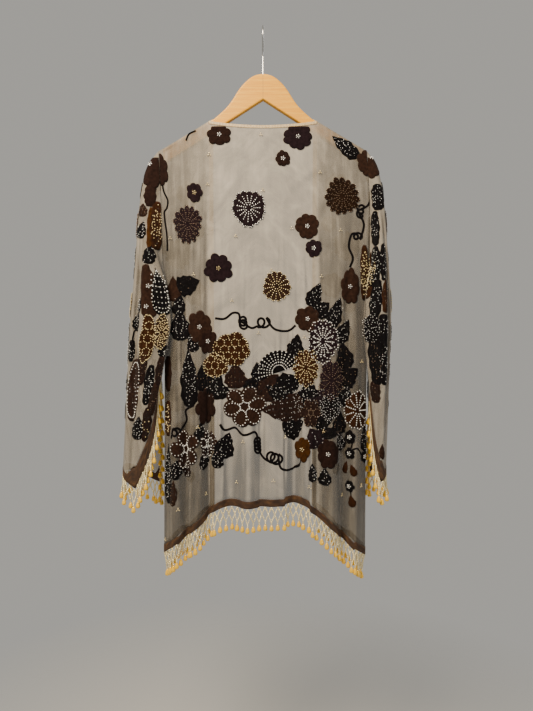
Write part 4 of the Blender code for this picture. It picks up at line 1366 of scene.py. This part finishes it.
SLEEVE_CENTRES = {"left": ((150.6, 165.0), (148.0, 286.0), (146.0, 306.0)), "right": ((371.0, 158.5),)}
SLEEVE_CURL = Stem(0.9, ((139.5, 331.0), (134.5, 330.5), (133.0, 337.0), (133.0, 344.0), (130.5, 347.0)))
# On the arm's outer side: shares across and down it, then the motif
ARM_MOTIFS = (
    (0.52, 0.10, Flower(2, 0, 8.0, 9.0, 7, 0.14, BLACK)),
    (0.48, 0.21, Flower(5, 0, 12.0, 13.5, 13, 0.18, PLUM, "rays", "bronze")),
    (0.42, 0.31, Leaf(0, 0, 11.0, 6.5, 70)),
    (0.57, 0.36, Flower(9, 0, 10.0, 10.5, 8, 0.14, BROWN, "centre", "gold")),
    (0.46, 0.46, Flower(4, 0, 13.0, 13.5, 7, 0.12, RUST, "loops", "gold")),
    (0.62, 0.50, Leaf(0, 0, 12.0, 7.5, 100, BLACK, "all", "bronze")),
    (0.38, 0.55, Leaf(0, 0, 13.0, 7.0, 60)),
    (0.54, 0.61, Flower(7, 0, 14.0, 15.0, 6, 0.22, BROWN, "petals", "silver")),
    (0.41, 0.69, Leaf(0, 0, 13.0, 8.0, 130)),
    (0.60, 0.71, Leaf(0, 0, 11.0, 7.0, 40, UMBER, "all", "bronze")),
    (0.49, 0.79, Flower(1, 0, 10.5, 11.5, 7, 0.16, UMBER)),
    (0.60, 0.85, Flower(3, 0, 6.5, 6.5, 6, 0.20, BLACK)),
)
# On the fronts: distance from the middle, height, then the motif
FRONT_MOTIFS = (
    (0.150, -0.320, Flower(7, 0, 13.0, 14.0, 8, 0.14, UMBER)),
    (0.134, -0.395, Flower(3, 0, 8.0, 8.5, 7, 0.14, BLACK, "centre", "gold")),
    (0.172, -0.440, Flower(5, 0, 15.0, 16.0, 13, 0.18, PLUM, "rays", "bronze")),
    (0.140, -0.520, Flower(9, 0, 12.0, 13.0, 8, 0.14, BROWN)),
    (0.174, -0.550, Leaf(0, 0, 13.0, 6.5, 70)),
    (0.142, -0.605, Flower(2, 0, 15.5, 14.5, 7, 0.12, RUST, "loops", "gold")),
    (0.176, -0.640, Leaf(0, 0, 20.0, 7.5, 92)),
    (0.150, -0.675, Leaf(0, 0, 12.5, 8.0, 40, BLACK, "all", "bronze")),
    (0.140, -0.735, Flower(4, 0, 16.0, 17.0, 5, 0.24, BROWN, "petals", "silver")),
    (0.176, -0.735, Flower(8, 0, 12.0, 15.0, 11, 0.18, UMBER, "rays", "silver")),
    (0.160, -0.800, Leaf(0, 0, 15.0, 9.0, 20, BLACK, "all", "bronze")),
    (0.136, -0.840, Leaf(0, 0, 11.0, 7.0, 110)),
    (0.174, -0.850, Flower(6, 0, 10.0, 12.0, 6, 0.18, GILT, "centre", "gold")),
    (0.150, -0.895, Flower(1, 0, 6.5, 6.5, 6, 0.20, BLACK)),
    (0.178, -0.930, Leaf(0, 0, 6.0, 3.2, 80, RUST, "")),
)
# Rows and rays that find a sleeve's sides, and how far one front's motifs hang below the other's
ARM_HEIGHTS = np.linspace(-0.262, -0.915, 200)
FACE_RAYS = 161
FACE_COLUMNS = 61
FEWEST_HITS = 5
FRONT_OFFSET = 0.008


def face_of(cloth, facing):
    """The side of a sleeve that faces one way, as rows of level places."""
    corners = np.array([v.co for v in cloth.data.vertices])
    tree = BVHTree.FromPolygons(corners.tolist(), [f.vertices for f in cloth.data.polygons])
    axis = int(np.abs(facing).argmin())
    span = np.linspace(corners[:, axis].min(), corners[:, axis].max(), FACE_RAYS)
    rows = []
    for z in ARM_HEIGHTS:
        start = np.array(facing) + (0, 0, z)
        hits = [tree.ray_cast(np.where(np.arange(3) == axis, s, start), -facing)[0] for s in span]
        hits = np.array([hit for hit in hits if hit])
        if len(hits) > FEWEST_HITS:
            across = np.linspace(hits[0, axis], hits[-1, axis], FACE_COLUMNS)
            rows.append(np.stack([np.interp(across, hits[:, axis], hits[:, i]) for i in range(3)], -1))
    return Wall(np.array(rows), facing)


piles = {"back": back_pile}
for sleeve in SLEEVES:
    cloth = sleeve_cloth[sleeve.name]
    near, far = face_of(cloth, TO_BACK), face_of(cloth, TO_FRONT)
    pile = piles[f"sleeve_{sleeve.name}"] = Pile(near)
    for motif in SLEEVE_MOTIFS[sleeve.name]:
        spot = near.spot(motif.px, motif.py)
        for pile.wall in (near, far):
            pile.motif(motif, spot)
    pile.wall = face_of(cloth, np.array((sleeve.sign, 0.0, 0.0)))
    last = np.array(pile.wall.points.shape[:2]) - 1
    for across, down, motif in ARM_MOTIFS:
        pile.motif(motif, (across * last[1], down * last[0]))
    pile.wall = near
    for place in SLEEVE_CENTRES[sleeve.name]:
        pile.sew(near.spot(*place), "silver", FLOWER_CENTRE)
    if sleeve.name == "left":
        pile.stem(SLEEVE_CURL)
across_front = np.linspace(0.002, 0.998, FACE_COLUMNS)
for name, sign in SIDES:
    wall = body_wall(1, sign * FRONT_EDGE, body_level(DROP_ROWS, name), across_front)
    pile = piles[f"front_{name}"] = Pile(wall)
    for x, z, motif in FRONT_MOTIFS:
        pile.motif(motif, wall.nearest(sign * x, z + FRONT_OFFSET * sign))
for name, pile in piles.items():
    pile.piece(f"velvet_motifs_{name}")


# Sewn beads: round glass seed beads about 2 mm across, stitched through the velvet in rays, rings and rows.
# A small node tree sets one bead at each stitch and turns it at random, so that each glints differently.
SEED_BEAD = 0.00118
ALL_ROUND = 6.28
BEAD_SIZES = {"silver": (0.92, 1.2), "gold": (0.8, 1.05)}
SMALL_SIZES = (0.55, 0.8)


def turned_bead(name, profile, sides):
    """A small solid turned round its upright axis, from (radius, height) places between two points."""
    angle = math.tau / sides * np.arange(sides)
    rings = [np.stack((r * np.cos(angle), r * np.sin(angle), 0 * angle + z), -1) for r, z in profile[1:-1]]
    points = np.vstack(([(0, 0, profile[0][1])], *rings, [(0, 0, profile[-1][1])]))
    step = [(i, (i + 1) % sides) for i in range(sides)]
    faces = [[0, 1 + j, 1 + i] for i, j in step]
    for k in range(len(rings) - 1):
        a, b = 1 + k * sides, 1 + (k + 1) * sides
        faces += [[a + i, a + j, b + j, b + i] for i, j in step]
    end = len(points) - 1
    faces += [[end, end - sides + i, end - sides + j] for i, j in step]
    shape = bpy.data.meshes.new(name)
    shape.from_pydata(points.tolist(), [], faces)
    shape.shade_smooth()
    made = bpy.data.objects.new(name, shape)
    bpy.context.scene.collection.objects.link(made)
    return made


sewing = bpy.data.node_groups.new("sewn_beads", "GeometryNodeTree")
INPUTS = {
    "Stitches": "Geometry", "Bead": "Object", "Smallest": "Float", "Largest": "Float", "Most turn": "Vector",
    "Seed": "Int", "Glass": "Material",
}
sockets = {
    name: sewing.interface.new_socket(name, in_out="INPUT", socket_type=f"NodeSocket{kind}").identifier
    for name, kind in INPUTS.items()
}
sewing.interface.new_socket("Beads", in_out="OUTPUT", socket_type="NodeSocketGeometry")
given = add_node(sewing, "NodeGroupInput").outputs
bead = add_node(sewing, "GeometryNodeObjectInfo", Object=given["Bead"], As_Instance=True)
sizes = add_node(
    sewing, "FunctionNodeRandomValue", {"data_type": "FLOAT"},
    _2=given["Smallest"], _3=given["Largest"], Seed=given["Seed"],
)
turns = add_node(
    sewing, "FunctionNodeRandomValue", {"data_type": "FLOAT_VECTOR"},
    _0=(0, 0, 0), _1=given["Most turn"], Seed=given["Seed"],
)
sewn = add_node(
    sewing, "GeometryNodeInstanceOnPoints", Points=given["Stitches"], Instance=bead.outputs["Geometry"],
    Rotation=turns, Scale=sizes.outputs[1],
)
solid = add_node(sewing, "GeometryNodeRealizeInstances", Geometry=sewn)
coloured = add_node(sewing, "GeometryNodeSetMaterial", Geometry=solid, Material=given["Glass"])
add_node(sewing, "NodeGroupOutput", Beads=coloured)


def sew_beads(name, places, bead, glass, seed, size=(0.7, 1.0), most_turn=(ALL_ROUND, ALL_ROUND, ALL_ROUND)):
    """A bead at each place, as one mesh of its own."""
    stitches = bpy.data.meshes.new(name)
    stitches.from_pydata(np.asarray(places).tolist(), [], [])
    holder = bpy.data.objects.new(name, stitches)
    bpy.context.scene.collection.objects.link(holder)
    modifier = holder.modifiers.new("beads", "NODES")
    modifier.node_group = sewing
    values = {"Bead": bead, "Smallest": size[0], "Largest": size[1], "Most turn": most_turn}
    for key, value in {**values, "Seed": seed, "Glass": glass}.items():
        modifier[sockets[key]] = value
    return plain_mesh(holder, name)


# Lined seed glass: a bright coat over a coloured metal lining, so that each bead is a point of light
LININGS = {"silver": "#f7f4ee", "gold": "#f3dda8", "bronze": "#9a8069", "fine": "#e9e7e4", "jet": "#1c1a1c"}
GLASS = {}
for name, lining in LININGS.items():
    GLASS[name], tree, shader = new_finish(
        f"{name}_lined_seed_glass", Base_Color=linear(lining), Metallic=0.35, Roughness=0.22, Coat_Weight=0.8
    )
ROUND_BEAD = ((0, -0.8), (0.8, -0.6), (1, 0), (0.8, 0.6), (0, 0.8))
CUT_BEAD = ((0, -0.8), (1, -0.35), (1, 0.35), (0, 0.8))
seed_bead = turned_bead("seed_bead", SEED_BEAD * np.array(ROUND_BEAD), 7)
jet_bead = turned_bead("jet_bead", SEED_BEAD * np.array(CUT_BEAD), 6)
bead_pieces = {}
for number, (name, pile) in enumerate(piles.items()):
    bead_pieces[name] = []
    for glass, places in pile.beads.items():
        if places:
            size = BEAD_SIZES.get(glass, SMALL_SIZES)
            bead = jet_bead if glass == "jet" else seed_bead
            made = sew_beads(f"{glass}_beads_{name}", np.vstack(places), bead, GLASS[glass], number, size)
            bead_pieces[name].append(made)
for tool in (seed_bead, jet_bead):
    bpy.data.objects.remove(tool)


# Fringe: a net of small champagne beads two diamonds deep, hung from the border's edge, with an amber drop
# at each point. It is threaded bead by bead, and hangs straight down from the hem and the slanted cuffs.
# Towards the hem's outer corners it is drawn a little inwards.
NET_PITCH = 0.0127
NET_BEAD = 0.0020
NET_STEP = 0.0031
NET_ROWS = (0.0010, 0.0150, 0.0300)
DROP_TOP = 0.0345
DROP_LENGTH = 0.0145
DROP_SIZES = (0.88, 1.0)
HEM_LEAN = 0.0010
CUFF_LEAN = 0.0028
NEARBY = 0.001
CORNER = 0.165
CORNER_SPAN = 0.040
CORNER_PULL = 0.008

# Champagne glass beads: pale gold, clear coat
champagne, tree, shader = new_finish(
    "champagne_glass_beads", Base_Color=linear("#f1e0ac"), Metallic=0.2, Roughness=0.2, Coat_Weight=0.7
)
# Amber glass drops: warm orange-gold that glows where light goes through
amber, tree, shader = new_finish(
    "amber_glass_drops", Base_Color=linear("#ffc920"), Roughness=0.18, Coat_Weight=0.6,
    Transmission_Weight=0.08, IOR=1.5,
)
net_bead = turned_bead("net_bead", NET_BEAD * np.array(CUT_BEAD), 6)
DROP = (
    (0, 0), (0.0018, -0.0012), (0.0032, -0.0042), (0.0044, -0.0082), (0.0048, -0.0108), (0.0034, -0.0134),
    (0, -DROP_LENGTH),
)
teardrop = turned_bead("teardrop", DROP, 8)


def hang_fringe(name, edge, closed, lean, seed):
    """Net and drops under an edge. Strands lean in and out by turns, so that their drops clear each other."""
    lengths = np.concatenate(([0], np.cumsum(np.linalg.norm(np.diff(edge, axis=0), axis=1))))
    count = round(lengths[-1] / NET_PITCH)
    pitch = lengths[-1] / count

    def at(along):
        return np.array([np.interp(along, lengths, edge[:, i]) for i in range(3)])

    def below(strand, depth):
        along = (strand + 0.5) * pitch
        along = along % lengths[-1] if closed else min(max(along, 0), lengths[-1])
        place, ahead = at(along), (at(along + NEARBY) - at(along - NEARBY))[:2]
        square = np.array((-ahead[1], ahead[0], 0)) / (np.hypot(*ahead) + 1e-9)
        share = depth / DROP_TOP
        sway = lean * (0 if strand % 1 else (1 if strand % 2 else -1)) * share
        pull = 0 if closed else CORNER_PULL * ease((abs(place[0]) - CORNER) / CORNER_SPAN) * share
        return place + square * sway - (math.copysign(pull, place[0]), 0, depth)

    places, drops = [], []
    for strand in range(count):
        threads = []
        for half in (-0.5, 0.5):
            threads.append((below(strand, NET_ROWS[0]), below(strand + half, NET_ROWS[1])))
            threads.append((below(strand + half, NET_ROWS[1]), below(strand, NET_ROWS[2])))
        threads.append((below(strand, NET_ROWS[2]), below(strand, DROP_TOP)))
        for start, end in threads:
            beads = max(2, round(np.linalg.norm(end - start) / NET_STEP))
            places += [mix(start, end, (i + 0.5) / beads) for i in range(beads)]
        drops.append(below(strand, DROP_TOP))
    net = sew_beads(f"bead_net_{name}", places, net_bead, champagne, seed)
    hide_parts(f"fringe_{name}")
    drop = sew_beads(f"amber_drops_{name}", drops, teardrop, amber, seed, DROP_SIZES, (0, 0, ALL_ROUND))
    return [net, drop]


fringes = {"back": hang_fringe("back", body_points(-1, back_columns, HEM_ROW)[0], False, HEM_LEAN, 20)}
for number, (name, sign) in enumerate(SIDES):
    hem = body_points(1, front_columns(sign), HEM_ROW)[0]
    fringes[f"front_{name}"] = hang_fringe(f"front_{name}", hem, False, HEM_LEAN, 30 + number)
for number, sleeve in enumerate(SLEEVES):
    edge = cuff_edge(sleeve, RING)
    fringes[f"cuff_{sleeve.name}"] = hang_fringe(f"cuff_{sleeve.name}", edge, True, CUFF_LEAN, 40 + number)
for tool in (net_bead, teardrop):
    bpy.data.objects.remove(tool)


# Cut: a record for one sheet of georgette: its cloth, flat size, area, what it hangs from and its trimming;
# none is filled in here.
# The jacket has five such sheets, a back, two fronts and two sleeves, each with its trimming sewn on. Widths
# are across the cloth laid flat, lengths from the shoulder seam or sleeve head to the lowest corner.
Cut = namedtuple("Cut", "cloth flat area hangs_from trimmed")


# Setting: a plain pale floor well below the hem, which fades out towards its rim.
# Soft studio light comes from the upper left, a little from the right, and a little from behind.
FLOOR_Z = -1.70
FLOOR_RADIUS = 1.3
FLOOR_SIDES = 96
LIT_PLACE = np.array((0.0, 0.0, -0.6))
disc = bpy.data.meshes.new("floor")
rim = FLOOR_RADIUS * spokes(np.linspace(0, math.tau, FLOOR_SIDES + 1)[:-1])
disc.from_pydata([(x, y, FLOOR_Z) for x, y in rim], [], [list(range(FLOOR_SIDES))])
floor = bpy.data.objects.new("floor", disc)
bpy.context.scene.collection.objects.link(floor)
paint, tree, shader = new_finish("pale_floor_paint", Roughness=0.9, Base_Color=linear("#c9c6bf"))
place = add_node(tree, "ShaderNodeTexCoord").outputs["Object"]
flat = add_node(tree, "ShaderNodeVectorMath", {"operation": "MULTIPLY"}, _0=place, _1=(1, 1, 0))
far = add_node(tree, "ShaderNodeVectorMath", {"operation": "LENGTH"}, _0=flat).outputs["Value"]
fade = add_node(tree, "ShaderNodeMapRange", Value=far, From_Min=0.5, From_Max=1.25, To_Min=1.0, To_Max=0.0)
feed(shader, Alpha=fade)
disc.materials.append(paint)

world = bpy.data.worlds.new("studio")
world.use_nodes = True
feed(world.node_tree.nodes["Background"], Color=linear("#d2cfc8"), Strength=0.62)
bpy.context.scene.world = world
Lamp = namedtuple("Lamp", "name place size watts colour")
for lamp in (
    Lamp("key", (-0.60, -0.95, 0.50), 0.7, 46.0, "#fff0d8"),
    Lamp("fill", (1.5, -1.3, -0.3), 1.6, 8.0, "#f2f4ff"),
    Lamp("behind", (0.4, 1.4, 0.4), 1.2, 5.0, "#ffffff"),
):
    light = bpy.data.lights.new(lamp.name, "AREA")
    light.size = lamp.size
    light.energy = lamp.watts
    light.color = linear(lamp.colour)[:3]
    made = bpy.data.objects.new(lamp.name, light)
    made.location = lamp.place
    aim = LIT_PLACE - lamp.place
    tilt = math.atan2(np.hypot(aim[0], aim[1]), -aim[2])
    made.rotation_euler = (tilt, 0, math.atan2(aim[1], aim[0]) - math.pi / 2)
    bpy.context.scene.collection.objects.link(made)
